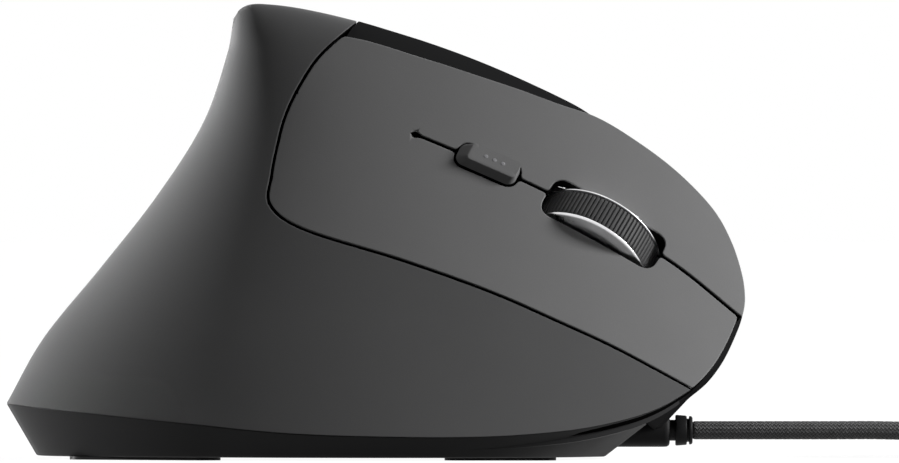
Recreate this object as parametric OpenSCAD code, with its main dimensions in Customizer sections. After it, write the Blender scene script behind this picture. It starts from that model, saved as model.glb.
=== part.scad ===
// Vertical ergonomic computer mouse for the right hand, with a braided cord and its plug.
// X runs forward to the cord, Y to the thumb side, Z up. The desk is z = 0.

/* [Body] */
// length of the body from heel to nose
body_length = 120; // [114:1:128]
// width of the body over both flared sides
body_width = 80; // [76:1:88]
// height of the body at the top of the ridge
body_height = 74; // [71:1:80]
// thickness of the moulded walls
wall = 2; // [1.6:0.1:2.2]
// width of the gap round the finger buttons
shut_gap = 0.5; // [0.4:0.05:0.7]
// height of the joint between the base and the shells above it
rim_gap = 0.25; // [0.2:0.05:0.4]
// thickness of the floor of the base
floor_t = 2; // [1.5:0.1:2.5]

/* [Feet] */
// height of the glide feet below the base
foot_h = 0.5; // [0.4:0.1:0.9]
// width of a glide foot
foot_w = 6; // [4:0.5:8]
// length of a rear foot
rear_foot_l = 27; // [18:1:28]
// length of a front foot
front_foot_l = 18; // [12:1:22]

/* [Scroll wheel] */
// diameter of the wheel over its tyre
wheel_d = 22; // [20.5:0.5:23]
// width of the wheel
wheel_w = 7.2; // [6.2:0.2:7.4]
// height of the wheel above the finger face
wheel_rise = 2.9; // [2.5:0.1:3.4]
// number of ribs round the tyre
tyre_ribs = 70; // [48:1:84]
// diameter of the wheel axle
axle_d = 2; // [1.6:0.1:2.4]
// running clearance of pins and axles, on the radius
run_fit = 0.05; // [0.03:0.01:0.1]
// gap between the wheel and its slot
slot_gap = 0.5; // [0.4:0.05:0.7]
// length of the slot for the wheel
slot_l = 20.2; // [20:0.1:21]
// turn of the wheel yoke when the wheel is clicked, in degrees
click_turn = 1.5; // [0.5:0.1:1.8]

/* [Finger buttons] */
// turn of a finger button when it is clicked, in degrees
press_turn = 0.8; // [0.3:0.1:1]
// diameter of the relief hole at the end of the slit
relief_d = 1.2; // [0.8:0.1:1.6]

/* [Speed button] */
// length of the button behind the wheel
speed_l = 10.8; // [9:0.2:12.6]
// width of the button behind the wheel
speed_w = 4.4; // [4:0.2:5.6]
// height of the button above the finger face
speed_rise = 1.3; // [0.8:0.1:1.8]
// travel of the button
speed_travel = 0.4; // [0.2:0.1:0.5]

/* [Thumb buttons] */
// length of a thumb button
thumb_l = 16; // [12:0.5:17]
// width of a thumb button
thumb_w = 5.4; // [4.4:0.2:6]
// height of a thumb button above the thumb face
thumb_rise = 1.2; // [0.8:0.1:1.6]
// travel of a thumb button
thumb_travel = 0.4; // [0.2:0.1:0.5]
// gap round the speed button and the thumb buttons
cap_gap = 0.35; // [0.3:0.05:0.5]

/* [Switches and boards] */
// length of a click switch
switch_l = 12.8; // [11:0.2:13]
// width of a click switch
switch_w = 5.8; // [5:0.2:6]
// height of a click switch
switch_h = 6; // [5.4:0.1:6.2]
// side of a small tact switch
tact_s = 4.5; // [4:0.1:4.8]
// height of a small tact switch
tact_h = 2.4; // [2:0.1:2.6]
// thickness of the circuit boards
board_t = 1.4; // [1:0.1:1.6]
// shank diameter of the screws
screw_d = 2; // [1.6:0.1:2.4]

/* [Cord] */
// diameter of the braided cord
cord_d = 3; // [2.6:0.1:3.4]
// turns of the put-away cord in each of its four layers
coil_turns = 3; // [2:1:3]
// gap between turns of the put-away cord
coil_gap = 0.5; // [0.45:0.05:0.8]
// thickness of the strap round the put-away cord
tie_t = 0.7; // [0.5:0.1:1]
// width of the strap round the put-away cord
tie_w = 8; // [5:0.5:9]

/* [Plug] */
// width of the plug's metal shell
plug_w = 12; // [12:0.1:12.1]
// thickness of the plug's metal shell
plug_t = 4.5; // [4.5:0.05:4.55]
// length of the plug's metal shell in front of its grip
plug_l = 18.5; // [17:0.5:19]
// length of the grip of the plug
grip_l = 24; // [18:1:30]
// width of the grip of the plug
grip_w = 16; // [15:0.5:18]
// height of the grip of the plug
grip_h = 8; // [7.5:0.25:10]

/* [Hidden] */
$fn = 48;
lx = body_length / 120;
ly = body_width / 80;
lz = body_height / 74;
eps = 0.01;

// Outlines seen from the finger side, as x and z at the drawn size of 120 by 74.
// heel line, as height and x
HEEL = [[9, -60], [19.5, -54.1], [31, -44.8], [42.5, -35.8], [54.5, -28.2], [66, -24.2], [71.6, -23.2]];
// top line over the heel, as x and height
CROWN = [
    [-23.2, 71.6], [-22.2, 73.1], [-20.3, 73.7], [-17, 73.6], [-13, 73.1], [-8, 72.1], [-2.5, 70.7],
    [3, 69.3]];
// lower lip of the shells, as x and height
LIP = [
    [-60, 9], [-43, 7.3], [-33, 6.3], [-14, 4.5], [6.5, 3.9], [18, 4], [26.5, 4.5], [34.5, 5.45],
    [42.5, 7.3], [47, 9.1], [51, 11.5]];
// shut line round the finger buttons, from the nose back and up to the ridge
SHUT = [
    [51, 11.5], [45.2, 14.7], [38, 18.5], [29.5, 22.4], [18.5, 27.2], [4.5, 32.2], [-11.5, 37.2],
    [-17.1, 41.2], [-16.9, 46], [-16, 50.8], [-14.7, 55.7], [-12.4, 60.6], [-9, 65.6], [-3, 70.9]];
// slit between the finger buttons, as x and height
SLIT = [
    [-13.4, 59.6], [-2.5, 56.2], [6.4, 52.7], [16.9, 48.3], [26.6, 43.9], [37.2, 38.4], [48.5, 31.6],
    [59.2, 23]];
// upper edge of the finger buttons, heel to nose
TOP_EDGE = [
    [-5.6, 68.9], [0.7, 67.4], [8.8, 65], [16.9, 62.3], [25, 59.5], [33, 56.2], [41, 51.6], [48, 46.5],
    [54, 40.5]];
// front edge of the upper and of the lower finger button, going down
NOSE_UP = [[54, 40.5], [57.3, 35.2], [59.1, 30], [59.6, 26], [59.2, 23]];
NOSE_LOW = [[59.2, 23], [57.6, 19.6], [55.7, 16.4], [53.5, 13.7], [51, 11.5]];
// upper and front edge of the thumb side, heel to nose and down
THUMB_TOP = [
    [-3, 70.2], [0.7, 69.1], [8.8, 66.7], [16.9, 63.8], [25, 60.3], [33, 56.5], [41, 51.7], [48, 46.6],
    [54, 40.6]];
THUMB_NOSE = [
    [54, 40.6], [57.4, 35.2], [59.2, 30], [59.7, 26], [59.4, 23], [58, 19.6], [56.2, 16.4],
    [54, 13.7], [51, 11.5]];
// shut line behind the thumb side, going up
THUMB_SHUT = [[-46, 7.6], [-38, 20], [-29, 34], [-20.5, 48], [-12.5, 60.5], [-3, 70.9]];

// smooth line through points spaced evenly in t from 0 to 1
function spl(p, t) =
    let (n = len(p) - 1, u = min(max(t, 0), 1) * n, i = min(floor(u), n - 1), f = u - i,
         a = i > 0 ? p[i - 1] : 2 * p[0] - p[1], b = p[i], c = p[i + 1],
         d = i < n - 1 ? p[i + 2] : 2 * p[n] - p[n - 1])
    0.5 * (2 * b + f * (c - a) + f * f * (2 * a - 5 * b + 4 * c - d) + f * f * f * (3 * b - a - 3 * c + d));
// smooth value between the rows of a table of key and value
function row(x, p, i = 0) = i >= len(p) - 2 || x < p[i + 1][0] ? i : row(x, p, i + 1);
function rise(p, i) =
    let (a = max(i - 1, 0), b = min(i + 1, len(p) - 1)) (p[b][1] - p[a][1]) / (p[b][0] - p[a][0]);
function smooth(x, p) =
    let (i = row(x, p), h = p[i + 1][0] - p[i][0], f = (x - p[i][0]) / h,
         m = rise(p, i), k = rise(p, i + 1))
    x < p[0][0] ? p[0][1] + m * (x - p[0][0])
    : p[i][1] * (1 + 2 * f) * (1 - f) * (1 - f) + h * m * f * (1 - f) * (1 - f)
      + p[i + 1][1] * f * f * (3 - 2 * f) + h * k * f * f * (f - 1);
function heel_x(z) = smooth(z, HEEL);
function crown_z(x) = smooth(x, CROWN);
function lip_z(x) = smooth(x, LIP);
function slit_z(x) = smooth(x, SLIT);
// point of a line moved sideways, to the left of its direction
function beside(p, t, off) =
    let (d = spl(p, min(t + 0.01, 1)) - spl(p, max(t - 0.01, 0)), n = [-d[1], d[0]] / norm(d))
    spl(p, t) + off * n;

// Faces of the body, as y over x and z at the drawn size.
// middle of the heel and the ridge
function lean(z) = 8 * (z - 9) / 62.6;
// finger face: slopes about 55 degrees and turns away towards the nose
function finger_sheet(x, z) =
    let (a = x + 5, h = z - 30) -21.6 + 0.0027 * a * a + 0.000019 * a * a * a + 0.69 * h - 0.00217 * h * h;
// thumb face: nearly upright with a flared rest at its foot
function thumb_sheet(x, z) =
    let (a = x - 4, flare = 27.5 * (1 - 0.000241 * a * a - 0.00000161 * a * a * a))
    13.5 - 0.0006 * (x + 5) * (x + 5) + flare * exp(-(z - 4) / 15);
// share of a sheet's reach at a distance from the edge it rounds into
function round_in(d, r) = sqrt(1 - exp(-max(d, 0) / r));
function heel_r(z) = 24 - 0.32 * (z - 9);
function finger_y(x, z) = lean(z) + (finger_sheet(x, z) - lean(z)) * round_in(x - heel_x(z), heel_r(z));
function thumb_y(x, z) = lean(z) + (thumb_sheet(x, z) - lean(z)) * round_in(x - heel_x(z), heel_r(z));
// the same two faces where the shell rounds over the ridge
function shell_y(q, thumb) =
    let (x = q[0], z = q[1], y = thumb ? thumb_y(x, z) : finger_y(x, z))
    lean(z) + (y - lean(z)) * round_in(crown_z(x) - z, 2);
// offset that puts the middle of the body over the origin
LIP_STEPS = 40;
function lip_x(k) = -60 + 111 * k * k;
function lip_right(k) = let (x = lip_x(k), z = lip_z(x)) [x * lx, finger_y(x, z) * ly, z * lz];
function lip_left(k) = let (x = lip_x(k), z = lip_z(x)) [x * lx, thumb_y(x, z) * ly, z * lz];
MID_Y = (min([for (i = [0:LIP_STEPS]) lip_right(i / LIP_STEPS)[1]])
    + max([for (i = [0:LIP_STEPS]) lip_left(i / LIP_STEPS)[1]])) / 2;
function place(x, y, z) = [x * lx, y * ly - MID_Y, z * lz];
function on_finger(q) = place(q[0], finger_y(q[0], q[1]), q[1]);
function on_thumb(q) = place(q[0], thumb_y(q[0], q[1]), q[1]);
function on_shell(q, thumb) = place(q[0], shell_y(q, thumb), q[1]);
function unit(v) = v / norm(v);
// outward direction of a face at x and z
function out_finger(q) =
    unit(cross(on_finger(q + [0.1, 0]) - on_finger(q), on_finger(q + [0, 0.1]) - on_finger(q)));
function out_thumb(q) =
    unit(cross(on_thumb(q + [0, 0.1]) - on_thumb(q), on_thumb(q + [0.1, 0]) - on_thumb(q)));
// four-sided patch between lines given as functions of a share: bottom, top, left and right points
function blend4(u, w, b, t, l, r, b0, b1, t0, t1) =
    (1 - w) * b + w * t + (1 - u) * l + u * r
    - (1 - u) * (1 - w) * b0 - u * (1 - w) * b1 - (1 - u) * w * t0 - u * w * t1;

// Solids from grids of points.
function flat(g) = [for (r = g) for (p = r) p];
function tri(a, b, c, flip) = flip ? [a, c, b] : [a, b, c];
// outward direction at a point of a grid
function grid_out(g, i, j, flip) =
    let (m = len(g) - 1, n = len(g[0]) - 1,
         a = g[min(i + 1, m)][j] - g[max(i - 1, 0)][j], b = g[i][min(j + 1, n)] - g[i][max(j - 1, 0)])
    (flip ? -1 : 1) * unit(cross(a, b));
// plate of even thickness behind an outer grid
module plate(outer, inner, flip, open_top = false) {
    m = len(outer);
    n = len(outer[0]);
    k = m * n;
    function at(i, j) = i * n + j;
    skin = [for (i = [0:m - 2]) for (j = [0:n - 2]) for (h = [0, 1])
        h == 0 ? tri(at(i, j), at(i, j + 1), at(i + 1, j + 1), flip)
        : tri(at(i, j), at(i + 1, j + 1), at(i + 1, j), flip)];
    back = [for (f = skin) [f[0] + k, f[2] + k, f[1] + k]];
    ends = [for (i = [0:m - 2]) for (e = [0, 1]) for (h = [0, 1]) if (e == 0 || !open_top)
        let (j = e == 0 ? 0 : n - 1, a = at(i, j), b = at(i + 1, j))
        h == 0 ? tri(a, b, b + k, e == 0 ? flip : !flip) : tri(a, b + k, a + k, e == 0 ? flip : !flip)];
    sides = [for (j = [0:n - 2]) for (e = [0, 1]) for (h = [0, 1])
        let (i = e == 0 ? 0 : m - 1, a = at(i, j), b = at(i, j + 1))
        h == 0 ? tri(a, b, b + k, e == 0 ? !flip : flip) : tri(a, b + k, a + k, e == 0 ? !flip : flip)];
    polyhedron(concat(flat(outer), flat(inner)), concat(skin, back, ends, sides), convexity = 6);
}
function behind(g, t, flip) =
    [for (i = [0:len(g) - 1]) [for (j = [0:len(g[0]) - 1]) g[i][j] - t * grid_out(g, i, j, flip)]];
// tube along points
function ring_at(p, i, r, sides) =
    let (n = len(p) - 1, d = unit(p[min(i + 1, n)] - p[max(i - 1, 0)]), s = unit(cross(d, [0, 0, 1])),
         t = cross(s, d))
    [for (k = [0:sides - 1]) p[i] + r * (cos(360 * k / sides) * s + sin(360 * k / sides) * t)];
module tube(p, d, sides) {
    n = len(p);
    pts = [for (i = [0:n - 1]) for (q = ring_at(p, i, d / 2, sides)) q];
    walls = [for (i = [0:n - 2]) for (k = [0:sides - 1]) for (h = [0, 1])
        let (a = i * sides + k, b = i * sides + (k + 1) % sides)
        h == 0 ? [a, b, b + sides] : [a, b + sides, a + sides]];
    caps = [for (k = [1:sides - 2]) for (h = [0, 1])
        h == 0 ? [0, k + 1, k] : [(n - 1) * sides, (n - 1) * sides + k, (n - 1) * sides + k + 1]];
    polyhedron(pts, concat(walls, caps), convexity = 10);
}

// main shell
// share of the height of each row of the shell, with rows on the corner of the shut line
SHELL_V = [
    0, 0.08, 0.16, 0.24, 0.32, 0.39, 0.4615, 0.5, 0.5385, 0.615, 0.6923, 0.769, 0.846, 0.9, 0.945, 0.98, 1];
SHELL_ROWS = len(SHELL_V) - 1;
SHELL_COLS = 20;
// share of the wall left at the top of the ridge
RIDGE_THIN = 0.35;
HALF_GAP = shut_gap / 2;
function shell_edge(v, thumb) = thumb ? beside(THUMB_SHUT, v, HALF_GAP) : beside(SHUT, v, HALF_GAP);
function shell_q(s, v, thumb) =
    let (r0 = shell_edge(0, thumb), r1 = shell_edge(1, false), z = 9 + 62.6 * v,
         b0 = [-60, 9], b1 = [r0[0], lip_z(r0[0])], t0 = [-23.2, 71.6], t1 = [r1[0], crown_z(r1[0])],
         r = shell_edge(v, thumb) + pow(v, 6) * (t1 - shell_edge(1, thumb)) + pow(1 - v, 6) * (b1 - r0),
         bx = b0[0] + s * (b1[0] - b0[0]), tx = t0[0] + s * (t1[0] - t0[0]))
    (1 - s) * [heel_x(z), z] + s * r
    + pow(1 - v, 2) * ([bx, lip_z(bx)] - (1 - s) * b0 - s * b1)
    + pow(v, 5) * ([tx, crown_z(tx)] - (1 - s) * t0 - s * t1);
function shell_rows(i) =
    let (s = abs(i - SHELL_COLS) / SHELL_COLS)
    [for (j = [0:SHELL_ROWS]) let (thumb = i > SHELL_COLS && j < SHELL_ROWS)
        on_shell(shell_q(s * s, SHELL_V[j], thumb), thumb)];
function shell_grid() = [for (i = [0:2 * SHELL_COLS]) shell_rows(i)];
// inward direction: level along the lip, square to the wall higher up, over the ridge at the top
function shell_out(g, i, j) =
    let (m = 2 * SHELL_COLS, n = SHELL_ROWS,
         a = g[min(i + 1, m)][j] - g[max(i - 1, 0)][j],
         b = (j < n ? g[i][j + 1] : g[m - i][n - 1]) - g[i][max(j - 1, 0)],
         c = -cross(a, b), d = norm(c) < 0.0001 ? [-0.6, 0, 0.8] : unit(c))
    unit([d[0], d[1], d[2] * (i == 0 ? 1 : min(1, j / 3))]);
module main_shell() {
    g = shell_grid();
    inner = [for (i = [0:2 * SHELL_COLS]) [for (j = [0:SHELL_ROWS])
        g[i][j] - wall * min(1, RIDGE_THIN + 1.3 * (1 - j / SHELL_ROWS)) * shell_out(g, i, j)]];
    color("dimgray") plate(g, inner, true, true);
}

// finger buttons
HINGE_U = 0.27;
CORNER_T = 6.6 / 13;
REAR_T = 10.78 / 13;
TIP_T = 12.55 / 13;
function slit_q(u, off) =
    let (x = -13.4 + 72.6 * u, d = unit([1, (slit_z(x + 0.1) - slit_z(x - 0.1)) / 0.2]))
    [x, slit_z(x)] + off * [-d[1], d[0]];
function upper_q(u, w, off) =
    let (b0 = slit_q(0, off), b1 = slit_q(1, off) - [0.1, 0], t0 = TOP_EDGE[0], t1 = TOP_EDGE[8],
         l = beside(SHUT, REAR_T + w * (TIP_T - REAR_T), -HALF_GAP),
         l0 = beside(SHUT, REAR_T, -HALF_GAP), l1 = beside(SHUT, TIP_T, -HALF_GAP),
         r = spl(NOSE_UP, 1 - w) + (1 - w) * (b1 - NOSE_UP[4]),
         b = slit_q(u, off) + (1 - u) * (l0 - b0) + u * (b1 - slit_q(1, off)),
         t = spl(TOP_EDGE, u) + (1 - u) * (l1 - t0))
    blend4(u, w, b, t, l, r, l0, b1, l1, t1);
function lower_q(u, w, off) =
    let (l0 = beside(SHUT, CORNER_T, -HALF_GAP), l1 = beside(SHUT, REAR_T, -HALF_GAP),
         b = beside(SHUT, CORNER_T * (1 - u), -HALF_GAP), b1 = beside(SHUT, 0, -HALF_GAP),
         t0 = slit_q(0, -off), t1 = slit_q(1, -off) - [0.1, 0],
         t = slit_q(u, -off) + (1 - u) * (l1 - t0) + u * (t1 - slit_q(1, -off)),
         l = beside(SHUT, CORNER_T + w * (REAR_T - CORNER_T), -HALF_GAP),
         r = spl(NOSE_LOW, 1 - w) + w * (t1 - NOSE_LOW[0]) + (1 - w) * (b1 - NOSE_LOW[4]))
    blend4(u, w, b, t, l, r, l0, b1, l1, t1);
// frame on the finger face: forward along the slit, across it, and outward
function face_frame(x) =
    let (q = [x, slit_z(x)], n = out_finger(q),
         d = on_finger([x + 0.5, slit_z(x + 0.5)]) - on_finger([x - 0.5, slit_z(x - 0.5)]),
         t = unit(d - (d * n) * n), b = cross(n, t))
    [on_finger(q), t, b, n];
WHEEL_F = face_frame(37.2);
SPEED_F = face_frame(18.2);
function thumb_frame(q) =
    let (n = out_thumb(q), d = on_thumb(q + [1, -0.28]) - on_thumb(q), t = unit(d - (d * n) * n),
         b = cross(n, t))
    [on_thumb(q), t, b, n];
module in_frame(f) {
    multmatrix([
        [f[1][0], f[2][0], f[3][0], f[0][0]],
        [f[1][1], f[2][1], f[3][1], f[0][1]],
        [f[1][2], f[2][2], f[3][2], f[0][2]]]) children();
}
function from_frame(f, p) = f[0] + p[0] * f[1] + p[1] * f[2] + p[2] * f[3];
function to_frame(f, p) = let (d = p - f[0]) [d * f[1], d * f[2], d * f[3]];

// small solids shared by the pieces
module pill(l, w, h) {
    cube([l - w, w, h], center = true);
    for (s = [-1, 1]) translate([s * (l - w) / 2, 0, 0]) cylinder(d = w, h = h, center = true);
}
module round_box(l, w, h, r) {
    cube([l - 2 * r, w, h], center = true);
    cube([l, w - 2 * r, h], center = true);
    for (s = [-1, 1]) for (e = [-1, 1]) translate([s * (l / 2 - r), e * (w / 2 - r), 0])
        cylinder(r = r, h = h, center = true);
}
module slab(x0, x1, y0, y1, z0, z1) {
    translate([x0, y0, z0]) cube([x1 - x0, y1 - y0, z1 - z0]);
}
module across(x, z, d, y0, y1) {
    translate([x, y1, z]) rotate([90, 0, 0]) cylinder(d = d, h = y1 - y0);
}
module screw(h) {
    cylinder(d = screw_d, h = h);
    translate([0, 0, h]) difference() {
        cylinder(d = 2 * screw_d, h = SCREW_HEAD);
        translate([0, 0, SCREW_HEAD]) cube([1.4 * screw_d, 0.5, SCREW_HEAD], center = true);
    }
}
SCREW_HEAD = 1.2;
PILOT = screw_d;

// places in the frame of the wheel
WHEEL_Z = wheel_rise - wheel_d / 2;
AXLE_UP = 3.9;
BOARD_Z = WHEEL_Z - AXLE_UP;
CHASSIS_Z = BOARD_Z - board_t;
CHASSIS_T = 2;
SLOT_W = wheel_w + 2 * slot_gap;
SWITCH_X = 5;
SWITCH_Y = [10.2, -14.6];
PLUNGER_X = SWITCH_X + 2;
PLUNGER_RISE = 0.8;
PLUNGER_TOP = BOARD_Z + switch_h + PLUNGER_RISE;
TACT_RISE = 0.7;
TACT_TOP = BOARD_Z + tact_h + TACT_RISE;
TOUCH = 0.05;
SPEED_AT = to_frame(WHEEL_F, SPEED_F[0]);
// the yoke's rear bar clears the speed button's switch
YOKE_CLEAR = 0.42;
YOKE_BAR = 2.5;
PIVOT = [SPEED_AT[0] + tact_s / 2 + YOKE_CLEAR + YOKE_BAR, WHEEL_Z - 0.9];
PIVOT_D = 2;
YOKE_Y = [wheel_w / 2 + 1.3, wheel_w / 2 + 2.9];
YOKE_X = [PIVOT[0] - YOKE_BAR, PIVOT[0] - YOKE_BAR + 1.2];
YOKE_Z = [WHEEL_Z - 1.9, WHEEL_Z + 1.5];
EYE_D = 4.8;
EAR_Y = [YOKE_Y[1] + 0.3, YOKE_Y[1] + 1.5];
EAR_R = 1.8;
EAR_TOP = WHEEL_Z + 1.1;
EAR_CLEAR = 0.3;
CLICK_AT = [-6, YOKE_Y[1] + 2.5];
RIB_DEPTH = 0.35;

module key_cuts() {
    in_frame(WHEEL_F) round_box(slot_l, SLOT_W, 24, 2.6);
    in_frame(SPEED_F) round_box(speed_l + 2 * cap_gap, speed_w + 2 * cap_gap, 12, 1.8);
    in_frame(face_frame(6.4)) cylinder(d = relief_d, h = 12, center = true);
}
module key_post(y) {
    in_frame(WHEEL_F) translate([PLUNGER_X, y, PLUNGER_TOP + TOUCH]) cylinder(d = 3, h = -1 - PLUNGER_TOP);
}
KEY_U = 16;
KEY_W = 7;
HINGE_GAP = 0.004;
function key_u(i) = HINGE_U + HINGE_GAP + (1 - HINGE_U - HINGE_GAP) * i / KEY_U;
module left_button() {
    g = [for (i = [0:KEY_U]) [for (j = [0:KEY_W]) on_finger(upper_q(key_u(i), j / KEY_W, HALF_GAP))]];
    color("dimgray") {
        difference() {
            plate(g, behind(g, wall, false), false);
            key_cuts();
        }
        key_post(SWITCH_Y[0]);
    }
}
module right_button() {
    g = [for (i = [0:KEY_U]) [for (j = [0:KEY_W]) on_finger(lower_q(key_u(i), j / KEY_W, HALF_GAP))]];
    color("dimgray") {
        difference() {
            plate(g, behind(g, wall, false), false);
            key_cuts();
        }
        key_post(SWITCH_Y[1]);
    }
}
BRIDGE_U = 6;
module button_bridge() {
    g = [for (i = [0:BRIDGE_U]) let (u = (HINGE_U - HINGE_GAP) * i / BRIDGE_U)
        concat([for (j = [0:KEY_W]) on_finger(lower_q(u, j / KEY_W, 0))],
            [for (j = [1:KEY_W]) on_finger(upper_q(u, j / KEY_W, 0))])];
    color("dimgray") difference() {
        plate(g, behind(g, wall, false), false);
        in_frame(face_frame(6.4)) cylinder(d = relief_d, h = 12, center = true);
    }
}

// trim along the ridge and round the nose
EDGE = concat(TOP_EDGE, [for (i = [1:4]) NOSE_UP[i]], [for (i = [1:4]) NOSE_LOW[i]]);
THUMB_EDGE = concat(THUMB_TOP, [for (i = [1:8]) THUMB_NOSE[i]]);
TRIM_BULGE = [[0, 0.7], [0.5, 0.4], [0.75, 0.3], [1, 0.8]];
TRIM_GAP = 0.55;
TRIM_LIFT = 0.3;
// share of the wall across the trim, thin over the edge of the thumb side
TRIM_WALL = [0.06, 0.1, 0.6, 1, 0.6, 0.15, 0.05];
TRIM_P = [0.03, 0.98];
TRIM_N = 36;
TRIM_W = 6;
function trim_at(p, w) =
    let (d = unit(spl(EDGE, min(p + 0.01, 1)) - spl(EDGE, max(p - 0.01, 0))), o = [-d[1], 0, d[0]],
         a = on_finger(beside(EDGE, p, TRIM_GAP)), b = on_thumb(beside(THUMB_EDGE, p, TRIM_LIFT)))
    a + w * (b - a) + smooth(p, TRIM_BULGE) * 4 * w * (1 - w) * o;
module ridge_trim() {
    g = [for (i = [0:TRIM_N]) let (p = TRIM_P[0] + (TRIM_P[1] - TRIM_P[0]) * i / TRIM_N)
        [for (j = [0:TRIM_W]) trim_at(p, j / TRIM_W)]];
    inner = [for (i = [0:TRIM_N]) [for (j = [0:TRIM_W])
        g[i][j] - wall * TRIM_WALL[j] * grid_out(g, i, j, false)]];
    color("black") plate(g, inner, false);
}

// thumb side
THUMB_F = thumb_frame([18, 50.7]);
THUMB_AT = 9.2;
THUMB_BOARD_Z = -7.1;
THUMB_TACT_TOP = THUMB_BOARD_Z + tact_h + TACT_RISE;
THUMB_POST = [[-7, -6.2], [7, -6.2]];
THUMB_U = 22;
THUMB_V = 14;
TOP_THIN = 0.2;
function thumb_q(u, w) =
    let (l0 = beside(THUMB_SHUT, 0, -HALF_GAP), b0 = [l0[0], lip_z(l0[0])], l1 = THUMB_TOP[0],
         b1 = THUMB_NOSE[8], t1 = THUMB_TOP[8], e1 = beside(THUMB_SHUT, 1, -HALF_GAP),
         l = beside(THUMB_SHUT, w, -HALF_GAP) + pow(1 - w, 6) * (b0 - l0) + pow(w, 6) * (l1 - e1),
         bx = b0[0] + u * (51 - b0[0]))
    blend4(u, w, [bx, lip_z(bx)], spl(THUMB_TOP, u), l, spl(THUMB_NOSE, 1 - w), b0, b1, l1, t1);
module thumb_shell() {
    g = [for (i = [0:THUMB_U]) [for (j = [0:THUMB_V]) let (w = j / THUMB_V)
        on_thumb(thumb_q(i / THUMB_U, w * (0.4 + 0.6 * w)))]];
    inner = [for (i = [0:THUMB_U]) [for (j = [0:THUMB_V])
        let (o = grid_out(g, i, j, true), t = j == THUMB_V ? TOP_THIN * wall : wall)
        g[i][j] - t * unit([o[0], o[1], o[2] * min(1, j / 3)])]];
    color("black") {
        difference() {
            plate(g, inner, true);
            in_frame(THUMB_F) for (s = [-1, 1]) translate([s * THUMB_AT, 0, 0])
                pill(thumb_l + 2 * cap_gap, thumb_w + 2 * cap_gap, 14);
        }
        in_frame(THUMB_F) for (p = THUMB_POST) translate([p[0], p[1], THUMB_BOARD_Z]) difference() {
            cylinder(d = 4, h = -1.1 - THUMB_BOARD_Z);
            translate([0, 0, -1]) cylinder(d = PILOT, h = 4.5);
        }
    }
}
module thumb_cap(s) {
    color("dimgray") in_frame(THUMB_F) translate([s * THUMB_AT, 0, 0]) {
        hull() {
            translate([0, 0, -1]) pill(thumb_l, thumb_w, 2);
            translate([0, 0, thumb_rise - 0.1]) pill(thumb_l - 1.2, thumb_w - 1.2, 0.2);
        }
        translate([0, 0, -2.4]) pill(thumb_l, thumb_w, 2);
        translate([0, 0, -3.6]) pill(thumb_l + 1, thumb_w + 1.4, 0.6);
        translate([0, 0, THUMB_TACT_TOP + TOUCH]) cylinder(d = 3, h = -3.4 - THUMB_TACT_TOP);
    }
}
module back_button() {
    thumb_cap(-1);
}
module forward_button() {
    thumb_cap(1);
}
module tact_body(p, z) {
    difference() {
        translate([p[0], p[1], z + tact_h / 2]) cube([tact_s, tact_s, tact_h], center = true);
        translate([p[0], p[1], z + 0.6]) cylinder(d = TACT_BORE, h = tact_h);
    }
}
TACT_PIN = 2.4;
TACT_BORE = 2.6;
TACT_DEEP = 0.8;
module tact_pin(p, z) {
    translate([p[0], p[1], z + tact_h - TACT_DEEP]) cylinder(d = TACT_PIN, h = TACT_DEEP + TACT_RISE);
}
module thumb_board() {
    color("darkgreen") difference() {
        in_frame(THUMB_F) slab(-14, 14, -8.6, 2.4, THUMB_BOARD_Z - board_t, THUMB_BOARD_Z);
        in_frame(THUMB_F) for (p = THUMB_POST)
            translate([p[0], p[1], THUMB_BOARD_Z - board_t - 1]) cylinder(d = PILOT, h = 4);
        in_frame(WHEEL_F) ear_room();
    }
}
module thumb_switches() {
    color("gray") in_frame(THUMB_F) for (s = [-1, 1]) tact_body([s * THUMB_AT, 0], THUMB_BOARD_Z);
}
module back_pin() {
    color("black") in_frame(THUMB_F) tact_pin([-THUMB_AT, 0], THUMB_BOARD_Z);
}
module forward_pin() {
    color("black") in_frame(THUMB_F) tact_pin([THUMB_AT, 0], THUMB_BOARD_Z);
}
module thumb_screws() {
    color("silver") in_frame(THUMB_F) for (p = THUMB_POST)
        translate([p[0], p[1], THUMB_BOARD_Z + THUMB_GRIP]) rotate([180, 0, 0]) screw(THUMB_SCREW_L);
}
THUMB_GRIP = 3;
THUMB_SCREW_L = board_t + THUMB_GRIP;

// base
// x of the foot of the base below each x of the lip
BASE_X = [[-60, -55.1], [-30, -28], [0, 0], [25, 21], [53, 38.3]];
BASE_TUCK = 0.022;
NOSE_DIP = 1.3;
FLOOR_IN = 0.94;
NOSE_STEPS = 8;
function shift(p) = [p[0], p[1] - MID_Y, p[2]];
function lip_loop() = concat(
    [for (i = [0:LIP_STEPS]) shift(lip_right(i / LIP_STEPS))],
    [for (i = [1:NOSE_STEPS - 1]) let (w = i / NOSE_STEPS, a = shift(lip_right(1)), b = shift(lip_left(1)))
        a + w * (b - a) + [TRIM_BULGE[3][1] * 4 * w * (1 - w), 0, 0]],
    [for (i = [LIP_STEPS:-1:1]) shift(lip_left(i / LIP_STEPS))]);
function loop_in(p, i) =
    let (n = len(p), d = p[(i + 1) % n] - p[(i + n - 1) % n]) unit([-d[1], d[0], 0]);
BASE_Z = foot_h;
FLOOR_Z = BASE_Z + floor_t;
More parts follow.
